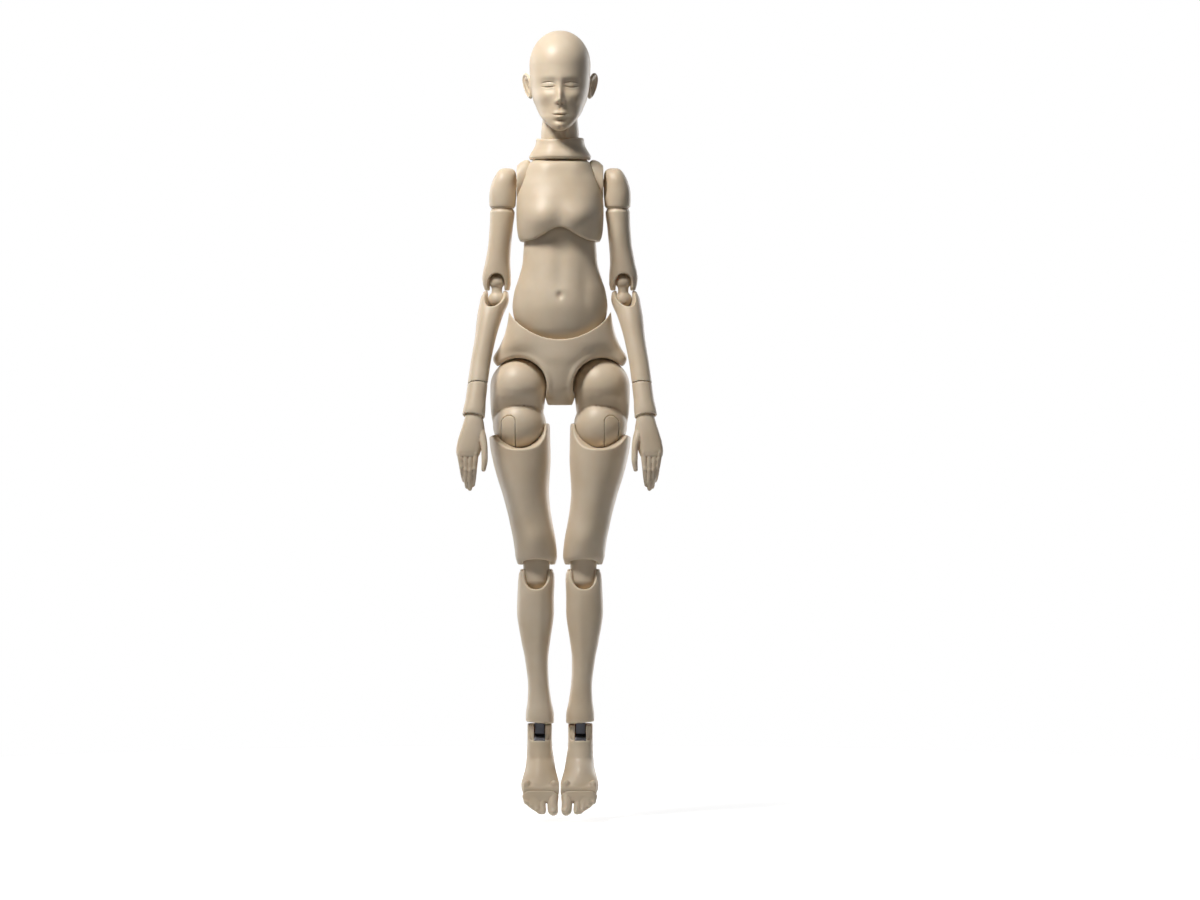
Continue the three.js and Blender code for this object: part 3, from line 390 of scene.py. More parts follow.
def grain_group():
    """Cast skin shared by the finishes: cloudy tone, a fine orange-peel height and a gloss patchiness."""
    group = bpy.data.node_groups.new("cast_skin", "ShaderNodeTree")
    start, end = socket_pair(group, {"Place": "NodeSocketVector", "Cloud": "NodeSocketFloat",
                                     "Grain": "NodeSocketFloat"},
                             {"Tone": "NodeSocketFloat", "Height": "NodeSocketFloat", "Gloss": "NodeSocketFloat"})
    nodes, links = group.nodes, group.links

    def scaled(name, detail):
        """Noise over the place, with its scale from the socket of that name."""
        texture = nodes.new("ShaderNodeTexNoise")
        texture.inputs["Detail"].default_value = detail
        links.new(start.outputs["Place"], texture.inputs["Vector"])
        links.new(start.outputs[name], texture.inputs["Scale"])
        return texture.outputs["Fac"]

    cloud, fine = scaled("Cloud", 4.0), scaled("Grain", 2.0)
    links.new(ramp(nodes, links, cloud, 0.3, 0.7), end.inputs["Tone"])
    links.new(fine, end.inputs["Height"])
    links.new(ramp(nodes, links, cloud, 0.25, 0.75), end.inputs["Gloss"])
    return group


def colour(red, green, blue):
    """A screen colour, 0 to 255, as the linear values that the shader takes."""
    share = np.array([red, green, blue]) / 255
    return tuple(float(v) for v in np.where(share <= 0.04045, share / 12.92, ((share + 0.055) / 1.055) ** 2.4))


# How the edge value, in 1/mm, paints a paler highlight on rims and a darker shade in creases: from, to, and the
# shares there
PAINTED_HIGHLIGHT_SPAN = (0.25, 1.5, 0.0, 0.75)
PAINTED_SHADE_SPAN = (-0.1, -0.9, 0.0, 0.7)
PEEL_DEPTH = 0.0002


def finish(name, skin, tones, painted_light_tones, cloud, grain, rough, height, metal=0.0, glow=0.0):
    """A cast or metal finish: cloudy tone, a paler painted highlight on rims, a darker painted shade in creases,
    patchy gloss, fine peel.
    """
    material = bpy.data.materials.new(name)
    material.use_nodes = True
    nodes, links = material.node_tree.nodes, material.node_tree.links
    shader = nodes["Principled BSDF"]
    place = nodes.new("ShaderNodeTexCoord").outputs["Object"]
    group = nodes.new("ShaderNodeGroup")
    group.node_tree = skin
    group.inputs["Cloud"].default_value = cloud
    group.inputs["Grain"].default_value = grain
    links.new(place, group.inputs["Place"])
    bend = nodes.new("ShaderNodeAttribute")
    bend.attribute_name = "edge"
    base = blend_colour(nodes, links, group.outputs["Tone"], *tones)
    # Painted light: the first edge tone is a paler painted highlight for rims, the second a darker painted shade
    # for creases
    rim, crease_shade_tone = painted_light_tones
    # Painted highlight: where the edge value is above zero, on rims, the colour runs towards the paler tone
    painted_highlight = blend_colour(nodes, links, ramp(nodes, links, bend.outputs["Fac"], *PAINTED_HIGHLIGHT_SPAN), base, rim)
    # Painted shade: where the edge value is below zero, in creases, the colour runs towards the darker tone
    painted_shade = blend_colour(nodes, links, ramp(nodes, links, bend.outputs["Fac"], *PAINTED_SHADE_SPAN), painted_highlight, crease_shade_tone)
    links.new(painted_shade, shader.inputs["Base Color"])
    links.new(ramp(nodes, links, group.outputs["Gloss"], 0, 1, *rough), shader.inputs["Roughness"])
    bump = nodes.new("ShaderNodeBump")
    bump.inputs["Strength"].default_value = height
    bump.inputs["Distance"].default_value = PEEL_DEPTH
    links.new(group.outputs["Height"], bump.inputs["Height"])
    links.new(bump.outputs["Normal"], shader.inputs["Normal"])
    shader.inputs["Metallic"].default_value = metal
    shader.inputs["Subsurface Weight"].default_value = glow
    shader.inputs["Subsurface Radius"].default_value = (1.0, 0.55, 0.3)
    shader.inputs["Subsurface Scale"].default_value = 0.003
    return material


cast_skin = grain_group()
# In each finish the second pair of colours is painted light: a paler highlight for rims and a darker shade for
# creases
FINISH = {
    "resin": finish("ivory_resin", cast_skin, (colour(229, 213, 190), colour(218, 198, 170)),
                    (colour(242, 226, 202), colour(146, 108, 74)), 60, 2600, (0.38, 0.5), 0.08, glow=0.12),
    "dark_metal": finish("dark_metal", cast_skin, (colour(74, 74, 78), colour(58, 58, 62)),
                         (colour(120, 120, 124), colour(30, 30, 32)), 220, 5200, (0.3, 0.45), 0.15, metal=1.0),
}


# Cutters

SQUARE = 40


def span_ball(radius, centre):
    """A ball for cutting, grown by the joint's gap."""
    return [ball(radius + GAP, centre, rows=64, columns=96)]


def block(low, high, place=(0, 0, 0)):
    """A box for cutting, carried to a place: a limb of two sections with almost square corners."""
    low, high = np.array(low, float), np.array(high, float)
    half, middle = (high - low) / 2, (high + low) / 2
    wall = [(z, half[0], half[1], half[1], middle[0], middle[1]) for z in (low[2], high[2])]
    none = np.zeros(1)
    flat = {"rise": none, "inset": none, "size": none, "sink": none, "lift": even, "pole": 0.0}
    return [limb(wall, flat, flat, rows=2, columns=64, power=SQUARE) + np.array(place)]


def drum(low, high, radius):
    """An upright rod with flat ends."""
    return limb([(low, radius, radius), (high, radius, radius)], FLAT_END, FLAT_END, rows=2, columns=96)


def rod(radius, half, place):
    """A rod for cutting, along X through a place."""
    return [sideways(drum(-half, half, radius)) + np.array(place)]


# Torso. Each section: height, half width, front, back, x, y

PELVIS_WALL = [
    (0.0, 4.7, 5.2, 5.6), (1.2, 5.1, 5.8, 6.4), (2.6, 5.6, 6.6, 7.6), (6, 9.6, 8.2, 10), (10, 17.4, 9, 12),
    (14.5, 23, 9.8, 13.6), (18.4, 25.0, 10.6, 14), (21.5, 23.6, 10.8, 13.8), (24, 22.4, 10.9, 13.5),
    (27.7, 21.0, 10.9, 12.7), (32, 20.0, 10.5, 11.6), (37.6, 19.3, 9.6, 10.4),
]
ABDOMEN_WALL = [
    (-19.6, 6.5, 5.5, 5.5), (-17.2, 11.4, 8.7, 8.9), (-12.8, 15.7, 10.9, 10.9), (-8.5, 17.7, 11.4, 11.2),
    (-4.7, 18.2, 11.6, 11.2), (0.9, 17.5, 11.3, 10.7), (5.6, 16.0, 10.6, 10.2), (12.3, 14.3, 9.6, 9.4),
    (17.7, 13.9, 8.9, 8.9), (23.3, 13.4, 9.2, 9.2),
]
CHEST_WALL = [
    (-3.4, 15.2, 10.9, 12), (-1, 16.1, 11.5, 12.1), (2.3, 16.5, 12.0, 12.4), (8.3, 16.7, 12.2, 12.7),
    (13.3, 16.5, 11.7, 12.9), (18.3, 15.5, 10.3, 12.6), (22.8, 13.6, 8.7, 11.6), (26.3, 11.9, 7.6, 10.7),
    (27.4, 11.1, 6.7, 9.9), (27.6, 10.5, 6.1, 9.7), (28.2, 10.2, 5.9, 9.5),
]
COLLAR_WALL = [
    (2.9, 11.7, 9.6), (3.4, 11.9, 9.8), (4.6, 11.4, 9.5), (6.4, 10.3, 8.8), (8.2, 9.45, 8.3), (9.7, 9.2, 8.1),
]
NECK_WALL = [(6, 4, 4), (10, 7.2, 6.7), (12, 7.25, 6.75), (16, 6.9, 6.4), (19, 6.5, 6.1), (22, 5.6, 5.5)]


def leg_opening(side):
    """Room for a thigh in the pelvis: its ball, and the ball's outline carried forward."""
    centre = HIP * np.array([side, 1, 1])
    return [span_ball(HIP_BALL, centre), [tilt(drum(0, 30, LEG_OUTLINE), np.pi / 2) + centre]]


def ridge(grid, centre, radius, wide, high):
    """Raises the front of a surface along a circle of the X-Z plane, high exp(-((r - radius) / wide)^2)."""
    r = np.hypot(grid[..., 0] - centre[0], grid[..., 2] - centre[2])
    push = high * np.exp(-((r - radius) / wide) ** 2) * (grid[..., 1] < 0)
    return grid - push[..., None] * np.array([0, 1, 0])


def waist_rim(angle):
    """The cup's rim, where the wall meets the waist ball: z = Z - sqrt(R^2 - x^2 - y^2), found in steps.

    It is rounded off at the horns, below the wall's top.
    """
    top = PELVIS_WALL[-1][0]
    z = np.full(angle.shape, 30.0)
    for _ in range(16):
        wide, front, back = through(PELVIS_WALL, z).T
        x, y = wide * np.cos(angle), np.where(np.sin(angle) < 0, front, back) * np.sin(angle)
        z = (z + WAIST[2] - np.sqrt(np.maximum((WAIST_BALL + GAP) ** 2 - x ** 2 - y ** 2, 1))) / 2
    return -np.log(np.exp(top - z) + 1)


def make_pelvis():
    """The hip block: a lofted wall cut by the waist ball above and the two thigh balls below."""
    wall = limb(PELVIS_WALL, FLAT_END, dome(0.8, 0.5, waist_rim), rows=96, columns=160)
    wall = swell(wall, (0, -11, 12), (8, 9, 9), (0, -1.0, 0))
    wall = swell(wall, (0, 14, 10), (2.2, 8, 9), (0, -2.4, 0))
    for side in SIDE:
        wall = swell(wall, (side * 15.5, -9, 28), (8, 8, 8), (0, -0.5, 0))
        wall = swell(wall, (side * 17.0, -9, 15.0), (7.0, 9, 5.5), (0, 5.0, 0))
        wall = swell(wall, (side * 25, -2, 16.5), (4, 9, 3.2), (side * 0.9, -0.6, -0.4))
        wall = swell(wall, (side * 9, 13, 12), (9, 9, 9), (0, 2.0, 0))
        wall = ridge(wall, HIP * np.array([side, 1, 1]), 11.8, 1.0, 0.7)
    legs = [cut for side in SIDE for cut in leg_opening(side)]
    piece("pelvis_block", [wall], "pelvis", "pelvis", cuts=[span_ball(WAIST_BALL, WAIST), *legs],
          voxel=0.3, rounds=8)


def make_abdomen():
    """The belly: a lofted wall, round below, with a navel, a middle line and soft ribs."""
    wall = limb(ABDOMEN_WALL, dome(2.6), dome(9.6, 0.8), rows=120, columns=160)
    front = wall[..., 1] < 0
    line = np.exp(-(wall[..., 0] / 2.2) ** 2) * np.exp(-((wall[..., 2] - 9) / 9.0) ** 2) * front
    wall[..., 1] += 0.3 * line
    for side in SIDE:
        wall = swell(wall, (side * 5.2, -10.5, 10), (4.2, 6, 8.5), (0, -0.4, 0))
        wall = swell(wall, (side * 9.5, -9, 2), (2.4, 6, 8), (0, 0.5, 0))
        wall = swell(wall, (side * 3.6, 10, 5), (3.4, 5, 12), (0, 0.7, 0))
    wall = swell(wall, (0, 10.6, 6), (1.8, 5, 13), (0, -0.9, 0))
    wall = swell(wall, (0, -11.2, -5), (9, 6, 7), (0, -0.8, 0))
    wall = swell(wall, (0, -11.8, -1.0), (1.0, 5, 1.5), (0, 0.95, 0.15))
    wall = swell(wall, (0, -11.4, 1.2), (1.9, 4, 1.0), (0, -0.2, 0))
    piece("belly", [wall + WAIST], "abdomen", "abdomen")


def chest_cutters():
    """What is hollowed out of the chest: the belly's dome, the shoulder blocks and the collar's ball."""
    hollow = [ball(1, RIBS, rows=64, columns=96, stretch=(14.7, 10.8, 10.8))]
    collar = span_ball(COLLAR_BALL, COLLAR)
    shoulders = []
    for side in SIDE:
        mouth = [(-4.8, 4.7, 4.7), (0, 4.7, 4.7), (4, 7.3, 7.3), (9, 11, 11)]
        horn = sideways(limb(mouth, dome(1.0), dome(1.0), rows=24, columns=64))
        shoulders.append(mirrored([horn + CLAVICLE], side))
    return [hollow, collar, *shoulders]


def under_bust(angle):
    """The plate's lower edge: z = 0.4 + 5.8 exp(-(x / 7.8)^2) in front, level behind."""
    x = 15.8 * np.cos(angle)
    return np.where(np.sin(angle) < 0, 0.4 + 5.8 * np.exp(-(x / 7.8) ** 2), 0.4)


def make_chest():
    """Front plate and back shell: one lofted trunk with a soft bust, split in two and hollowed."""
    trunk = limb(CHEST_WALL, dome(0.8, 0.5, under_bust), FLAT_END, rows=110, columns=180)
    for side in SIDE:
        trunk = swell(trunk, (side * 7.6, -11.6, 6.2), (7.4, 9, 6.0), (side * 0.3, -3.0, -0.5))
        trunk = swell(trunk, (side * 6.0, -9, 24), (3.0, 6, 3.2), (0, -0.4, 0))
        trunk = swell(trunk, (side * 7.5, 12, 13), (5.5, 6, 8), (0, 1.2, 0))
    trunk = swell(trunk, (0, -13, 5), (3.0, 8, 6), (0, 0.7, 0))
    trunk = swell(trunk, (0, 12.6, 12), (1.7, 6, 14), (0, -1.4, 0))
    trunk = trunk + RIBS
    split = 2.0
    behind = block((-40, split - GAP / 2, 40), (40, 60, 140))
    ahead = block((-40, -60, 40), (40, split + GAP / 2, 140))
    shared = chest_cutters()
    piece("chest_plate", [trunk], "chest", "chest_front", cuts=[behind, *shared], voxel=0.3)
    piece("back_shell", [trunk], "chest", "chest_back", cuts=[ahead, *shared], voxel=0.34)


def make_neck():
    """Collar and neck: a flared ring with two lips over a ball, and a post that runs into the head."""
    ring = limb(COLLAR_WALL, cup(1.0, 3.6), cup(1.3, 4.5, wave(0.4, 2, 0.7)), rows=72, columns=128)
    for side in SIDE:
        ring = swell(ring, (side * 4.2, -9, 5), (2.6, 4, 4), (0, -0.3, 0))
    stem = limb([(0, 5.2, 5.2), (7, 5.4, 5.4)], dome(0.5), dome(0.5), rows=8, columns=72)
    piece("collar_ring", [ring + COLLAR, ball(COLLAR_BALL, COLLAR), stem + COLLAR], "collar", "collar")
    post = limb(NECK_WALL, dome(0.6), dome(4.5), rows=64, columns=96)
    for side in SIDE:
        post = swell(post, (side * 3.1, -6.4, 14), (1.5, 3, 8), (0, -0.45, 0))
    post = swell(post, (0, -6.6, 16), (1.4, 3, 3), (0, -0.35, 0))
    piece("neck_post", [post + COLLAR], "neck", "neck")


# Head

HEAD_WALL = [
    (-11.2, 2.0, 1.9, 2.2, 0, -11.6), (-10.6, 3.2, 3.0, 3.5, 0, -11.3), (-9.6, 4.4, 4.0, 4.6, 0, -10.8),
    (-8.6, 5.35, 4.7, 5.4, 0, -10.2), (-6.8, 6.8, 6.2, 7, 0, -8.8),
    (-4.6, 8.1, 9.6, 9.4, 0, -5.5), (-2, 9.2, 11.6, 10.6, 0, -3.6), (1, 10.4, 12.2, 13.2, 0, -3),
    (5, 11.1, 13.0, 15.2, 0, -2), (9, 11.5, 13.3, 16, 0, -2), (14, 11.7, 13.2, 16.2, 0, -2),
]


def sides_at(x):
    """Both sides, or one for a mark on the middle line."""
    return tuple(SIDE) if x else (LEFT,)


def hills(grid, table):
    """Adds a table of soft hills on the face: x, y, z, then radii, then how far forward, on both sides."""
    for x, y, z, rx, ry, rz, forward in table:
        for side in sides_at(x):
            grid = swell(grid, (side * x, y, z), (rx, ry, rz), (0, -forward, 0))
    return grid


def groove(grid, x, z, bend, half, wide, deep):
    """Presses a thin curved line into the face on both sides, along Z = z + bend (X - x)^2."""
    front = grid[..., 1] < -8
    for side in sides_at(x):
        out = grid[..., 0] * side - x
        along = np.exp(-(out / half) ** 4)
        across = np.exp(-((grid[..., 2] - z - bend * out ** 2) / wide) ** 2)
        grid = grid + (deep * along * across * front)[..., None] * np.array([0, 1, 0])
    return grid


def make_head():
    """The bald head: lofted sections with the face pressed out of its front, and two ears."""
    skull = limb(HEAD_WALL, dome(0.5), dome(13.4), rows=220, columns=280)
    skull = hills(skull, [
        # brow and eyes
        (0, -15, 9.2, 6, 6, 2.6, 0.2), (4.4, -13.6, 8.3, 3.4, 6, 1.4, 0.3), (4.2, -13, 5.7, 2.9, 6, 2.2, -1.7),
        (4.5, -12.6, 5.5, 2.2, 6, 1.5, 1.35),
        # cheeks
        (6.2, -11.4, 1.8, 2.8, 6, 2.6, 0.7), (4.6, -12, -3.2, 2.4, 6, 2.8, -0.35),
        # nose
        (0, -15, 4.6, 1.3, 7, 2.6, 0.8), (0, -15.2, 1.4, 1.2, 7, 2.3, 1.6), (0, -15.6, -0.3, 1.3, 7, 1.2, 1.3),
        (1.35, -15, -0.8, 0.8, 7, 0.8, 0.65), (0.7, -15, -1.8, 0.5, 7, 0.4, -0.35),
        # lips and chin
        (0, -15, -3.2, 0.5, 7, 0.9, -0.25), (0, -15, -5.8, 3.2, 7, 2.4, 0.35), (0.95, -15, -5.1, 1.2, 7, 0.6, 0.7),
        (0, -15, -6.7, 1.6, 7, 0.7, 0.9), (0, -14, -8.1, 2.2, 7, 0.7, -0.45), (0, -14, -10.1, 2.2, 6, 1.5, 0.7),
    ])
    # lid line, fold above it, mouth
    skull = groove(skull, 4.5, 4.75, 0.05, 2.3, 0.2, 0.55)
    skull = groove(skull, 4.5, 6.75, -0.07, 2.4, 0.22, 0.3)
    skull = groove(skull, 0, -5.85, 0.03, 2.4, 0.2, 0.65)
    neck_hole = [limb([(-13, 10.2, 10.2), (0, 6.2, 6.2)], FLAT_END, dome(6.2), rows=24, columns=72) + SKULL]
    piece("bald_head", [skull + SKULL], "head", "head", cuts=[neck_hole])
    for side in SIDE:
        piece(f"{SIDE[side]}_ear", [make_ear() + SKULL], "head", side=side)


def make_ear():
    """An ear: a leaf a(angle) by b(angle), raised along its rim, hollow inside and turned out at the back."""
    a = np.arange(96) * 2 * np.pi / 96
    b = np.linspace(-np.pi / 2, np.pi / 2, 72)[:, None]
    size, face = np.cos(b), np.sin(b)
    back = size * 2.7 * (1 + 0.2 * np.sin(a)) * np.cos(a)
    up = size * 5.0 * np.sin(a)
    outer = face > 0
    rim = 0.6 * np.exp(-((size - 0.87) / 0.13) ** 2) * outer
    fold = 0.35 * np.exp(-((size - 0.55) / 0.12) ** 2) * outer * (0.5 + 0.5 * np.cos(a - 0.6))
    bowl = -0.9 * np.exp(-((size - 0.25) / 0.3) ** 2) * outer
    x = 11.0 + 0.5 * (back + 2.2) + 0.2 * up + 0.55 * face + rim + fold + bowl
    return np.stack([x, 1.6 + back + 0.14 * up, 6.4 + up], axis=-1)


# Arms

def notch(depth, half, wide, behind=None, power=2.3):
    """A lip with a round U in its front and back: height = depth (1 - |W cos a / half|^p)^(1 / p)."""
    def lift(angle):
        high = np.where(np.sin(angle) > 0, depth if behind is None else behind, depth)
        return high * (1 - np.minimum(np.abs(wide * np.cos(angle) / half), 1) ** power) ** (1 / power)
    return lift


def wave(height, turns, phase=0.0):
    """A wavy lip: height cos(turns a + phase)."""
    return lambda angle: height * np.cos(turns * angle + phase)


CAP_TOP = 5.8


def make_shoulder(side):
    """Shoulder block and cap: a horn that runs out of the chest, and a cap over the arm's ball.

    The cap's top is a dome outside and a fuller one inside, x^4 + z^4 = 1, next to the block.
    """
    horn = limb([(-4.0, 1.6, 1.6, 1.6, 0), (-2.6, 3.6, 3.2, 3.2, -0.4), (0, 6.6, 4.3, 4.3, -0.8),
                 (2.2, 6.9, 4.9, 4.9, 0.0), (4.6, 6.1, 5.2, 5.2, 1.2), (6.6, 5.2, 5.0, 5.0, 1.8)],
                FLAT_END, dome(0.8, 0.4), rows=48, columns=80)
    cap_side = rod(13, 6, SHOULDER + [1.02, 0, 0])  # the block ends 4.98 inside the shoulder's centre
    side_piece(side, "shoulder_block", [sideways(horn) + CLAVICLE], "clavicle",
               cuts=[span_ball(SHOULDER_BALL, SHOULDER), cap_side], voxel=0.25)
    cap = limb([(-9.25, 4.55, 4.9, 4.9, 0.4), (-8.7, 4.95, 5.2, 5.2, 0.4), (-4.85, 5.1, 5.5, 5.5, 0.25),
                (0, 4.9, 5.4, 5.4, 0)], cup(0.9, 2.2), dome(CAP_TOP), rows=56, columns=80)
    high = np.clip(cap[..., 2] / CAP_TOP, 0, 0.999)
    fuller = (1 - high ** 4) ** 0.25 / np.sqrt(1 - high ** 2)
    cap[..., 0] *= np.where(cap[..., 0] < 0, fuller, 1)
    cap = swell(cap, (3, -3, -3), (4, 5, 5), (0.35, -0.25, 0))
    cap = swell(cap, (4.4, 0, 3.2), (3.6, 9, 4.0), (-0.8, 0, -0.4))
    side_piece(side, "shoulder_cap", [cap + SHOULDER], "deltoid")


def make_arm(side):
    """Upper arm, elbow link, forearm and its turning end: lofted limbs, forked about the two elbow pins."""
    upper = limb([(-10.25, 4.3, 4.6, 4.6, 0.5), (-11.2, 4.7, 5, 5, 0.5), (-16.7, 4.45, 4.9, 4.9, 0.9),
                  (-23.5, 4.4, 4.7, 4.6, 1.5), (-30.4, 4.8, 4.5, 4.4, 2.3), (-34, 5.3, 4.3, 4.2, 2.6),
                  (-36.2, 5.5, 4.1, 4.1, 2.7), (-38.4, 5.4, 3.5, 3.5, 2.6), (-40.5, 4.9, 2.6, 2.6, 2.5)],
                 cup(1.2, 7.4, notch(6.4, 3.9, 5.3, 3.0)), cup(0.9, -1.5), rows=90, columns=132)
    upper = swell(upper, (1, -5, -19), (4, 4, 7), (0, -0.35, 0))
    side_piece(side, "upper_arm_limb", [upper + SHOULDER], "upper_arm")
    stem = limb([(-7.4, 2.4, 2.4), (-4.8, 2.0, 2.0), (-2.4, 2.3, 2.3)], dome(0.5), dome(0.5), rows=24, columns=48)
    oval = (1, 0.95, 0.95)
    link = [ball(3.4, (0, 0, -8.4), stretch=oval), ball(3.1, (0, 0, -1.5), stretch=oval), stem]
    side_piece(side, "elbow_knuckle", [grid + ELBOW_TOP for grid in link], "elbow_link", voxel=0.2)
    fore = limb([(2.9, 4.9, 3.1, 3.1, 0.5), (1.6, 5.3, 4.1, 4.1, 0.7), (0, 5.5, 4.6, 4.6, 0.9),
                 (-6.5, 4.85, 4.8, 4.7, 2.65), (-16, 4.0, 4.4, 4.2, 4.4), (-25.5, 3.8, 3.8, 3.8, 6),
                 (-33.4, 3.8, 3.6, 3.6, 7.0), (-33.75, 3.75, 3.55, 3.55, 7.05)],
                cup(0.4, 2.4), cup(1.2, 8.8, notch(-7.6, 4.2, 5.5, -3.4)), rows=96, columns=132)
    fore = swell(fore, (3, -4, -9), (4, 4, 7), (0, -0.3, 0))
    side_piece(side, "forearm_limb", [tilt(fore, FOREARM_BEND) + ELBOW_LOW], "forearm")
    cuff = limb([(-34.5, 3.75, 3.55, 3.55, 7.12), (-34.9, 3.8, 3.6, 3.6, 7.15), (-40, 3.85, 3.6, 3.6, 7.7),
                 (-45, 4.25, 3.5, 3.5, 8.3), (-46.8, 4.3, 3.2, 3.2, 8.5)],
                cup(1.0, 5, wave(0.6, 1, 0.6)), cup(0.4, -1.6), rows=56, columns=88)
    side_piece(side, "wrist_end", [tilt(cuff, FOREARM_BEND) + ELBOW_LOW], "wrist_cuff")


# Each finger: x at its knuckle, and its length
FINGERS = [(-0.6, 13.5), (1.4, 15), (3.4, 14.2), (5.3, 11.8)]
FINGER_ROOT = -15.5


def wrist_place():
    """Where the wrist's pin stands: the forearm's local place turned by the forearm's bend."""
    return tilt(WRIST_LOCAL[None], FOREARM_BEND)[0] + ELBOW_LOW


def make_hand(side):
    """The hand: a flat palm with a knuckle row, four fingers and a thumb on curved paths, run into one skin."""
    palm = limb([(-17.2, 4.3, 1.9, 1.8, 2.3), (-15.5, 4.7, 2.3, 2.1, 2.1), (-12, 4.9, 2.6, 2.4, 1.4),
                 (-8.5, 4.6, 2.8, 2.6, 0.7), (-5, 3.9, 2.8, 2.7, 0.3), (-2.6, 3.4, 2.6, 2.6, 0.15),
                 (-1.2, 3.1, 2.4, 2.4, 0.1)],
                dome(1.2), dome(1.8, 0.7), rows=56, columns=72, power=2.3)
    palm = swell(palm, (-2.6, 1.4, -9), (2, 3, 5), (-0.4, 0.7, 0))
    digits = []
    for x, length in FINGERS:
        draw = 0.45 * (1.8 - x)
        bones = [(x, -0.3, -14.2), (x + 0.15 * draw, -0.3, -17.4),
                 (x + 0.45 * draw, 0.5, FINGER_ROOT - 0.45 * length),
                 (x + 0.8 * draw, 2.4, FINGER_ROOT - 0.75 * length), (x + draw, 4.6, FINGER_ROOT - length + 1.2)]
        second = (x + 0.45 * draw, 0.35, FINGER_ROOT - 0.46 * length)
        digits.append(tube(bones, [1.2, 1.28, 1.16, 1.08, 0.85], sides=24))
        digits.append(ball(1.3, (x, -0.85, -16.2), rows=20, columns=24, stretch=(0.85, 0.8, 1.5)))
        digits.append(ball(1.12, second, rows=20, columns=24, stretch=(1, 1, 1.6)))
    bones = [(-1.8, 0.3, -6.5), (-3.0, -0.6, -10.5), (-4.0, -1.5, -15), (-4.1, -1.6, -19.2), (-3.7, -1.0, -22.8)]
    thumb = tube(bones, [1.9, 1.75, 1.25, 1.2, 0.9], sides=24)
    parts = [tilt(grid, HAND_BEND) + wrist_place() for grid in [palm, *digits, thumb]]
    side_piece(side, "hand_skin", parts, "hand", voxel=0.22, rounds=6)


# Legs

def wedge(start, end, half, outer, inner, x, soft):
    """A slice about the X direction: P = (x, r cos a, r sin a), a from start to end, r from inner to outer(x).

    The slice is 2 half wide and narrows to a round tip over the angle soft next to its start.
    """
    angle = np.radians(np.linspace(start, end, 72))
    tip = np.clip((angle - angle[0]) / math.radians(soft), 0.03, 1)
    wide = half * np.sqrt(1 - (1 - tip) ** 2)
    across, level = np.linspace(1, -1, 24, endpoint=False), np.linspace(1, 0, 8, endpoint=False)
    side = np.concatenate([across, -np.ones(8), -across[::3], np.ones(8)])
    share = np.concatenate([np.ones(24), level, np.zeros(8), 1 - level])
    place = x + wide[:, None] * side
    reach = inner + (outer(place) - inner) * share
    grid = np.stack([place, reach * np.cos(angle)[:, None], reach * np.sin(angle)[:, None]], axis=-1)
    ends = [np.broadcast_to(grid[row].mean(axis=0), grid[:1].shape) for row in (0, -1)]
    return np.concatenate([ends[0], grid, ends[1]])


TONGUE_OUT = 4.2
SLOT_REACH = 14


def thigh_rim(angle):
    """The cup's rim: a scoop, dip (1 - |x|^2.6)^(1 / 2.6) - 0.6, held down towards the outer side.

    The scoop and the outer slope run softly into the lower of the two, -ln(e^(-0.8 u) + e^(-0.8 v)) / 0.8.
    """
    x = np.minimum(np.abs(11.5 * np.cos(angle)) / 10.4, 1)
    dip = np.where(np.sin(angle) < 0, -10.4, -6.6)
    scoop = dip * (1 - x ** 2.6) ** (1 / 2.6) - 0.6
    outer = -6.2 * (0.5 + 0.5 * np.cos(angle)) ** 2
    return -np.log(np.exp(-0.8 * scoop) + np.exp(-0.8 * outer)) / 0.8


def make_thigh(side):
    """Upper thigh, hinge tongue and lower thigh: an egg over a ball, the ball's flush pill, a cup over it."""
    turns = np.radians(np.linspace(6, 82, 12))
    high = [(HIP_BALL * math.sin(t), HIP_BALL * math.cos(t), HIP_BALL * math.cos(t)) for t in turns]
    egg = limb([(-13.5, 9.4, 5.0, 8.0, 0.5), (-11, 9.9, 5.4, 8.8, 0.5), (-8.5, 10.2, 6.4, 9.4, 0.45),
                (-6, 10.4, 8.0, 9.9, 0.35), (-3, 10.6, 10.0, 10.5, 0.2), (0, HIP_BALL, HIP_BALL), *high],
               dome(4.0, 0.8), dome(0.1), rows=100, columns=120)
    slot = [wedge(156.5, 326, 2.78, lambda x: 0 * x + SLOT_REACH, 1.5, TONGUE_OUT, 16) + THIGH]
    side_piece(side, "thigh_balls", [egg + HIP, ball(THIGH_BALL, THIGH, rows=72, columns=120)], "upper_thigh",
               cuts=[slot], voxel=0.3, rounds=2)
    blade = wedge(158, 282, 2.6, lambda x: np.sqrt(THIGH_BALL ** 2 - x ** 2), 2.0, TONGUE_OUT, 14.5)
    side_piece(side, "thigh_pill", [blade + THIGH], "thigh_tongue")
    sections = [(1.6, 11.2, 11.3, 11.2), (-1.5, 11.7, 11.6, 11.5), (-7, 11.6, 11.7, 11.5, -0.2),
                (-13.3, 11.1, 11.4, 11.2, -0.8), (-20.1, 10, 10.6, 10.4, -1.5), (-27.1, 8.8, 9.6, 9.4, -2.5),
                (-36.1, 8.2, 8.6, 8.4, -4.2), (-45.2, 8.1, 7.8, 7.6, -5.9), (-50.2, 8.0, 6.7, 6.5, -6.4),
                (-52.7, 7.4, 4.8, 4.6, -6.5)]
    shaft = limb(sections, cup(1.4, 7.5, notch(2.2, 6.0, 7.8, 8.0)), dome(0.7, 0.5, thigh_rim),
                 rows=130, columns=150)
    shaft = swell(shaft, (-2.5, -9, -24), (5, 6, 12), (0, -0.6, 0))
    shaft = swell(shaft, (-6.2, -8, -43), (4.5, 5, 5), (0, -0.9, 0))
    knee_front = block((-5.4, -3.9, -2), (5.4, 0.2, 3.9), KNEE_TOP)
    knee_back = block((-5.4, 0, -9), (5.4, 14, 3.9), KNEE_TOP)
    side_piece(side, "thigh_shaft", [shaft + THIGH], "lower_thigh",
               cuts=[span_ball(THIGH_BALL, THIGH), knee_front, knee_back], voxel=0.33)


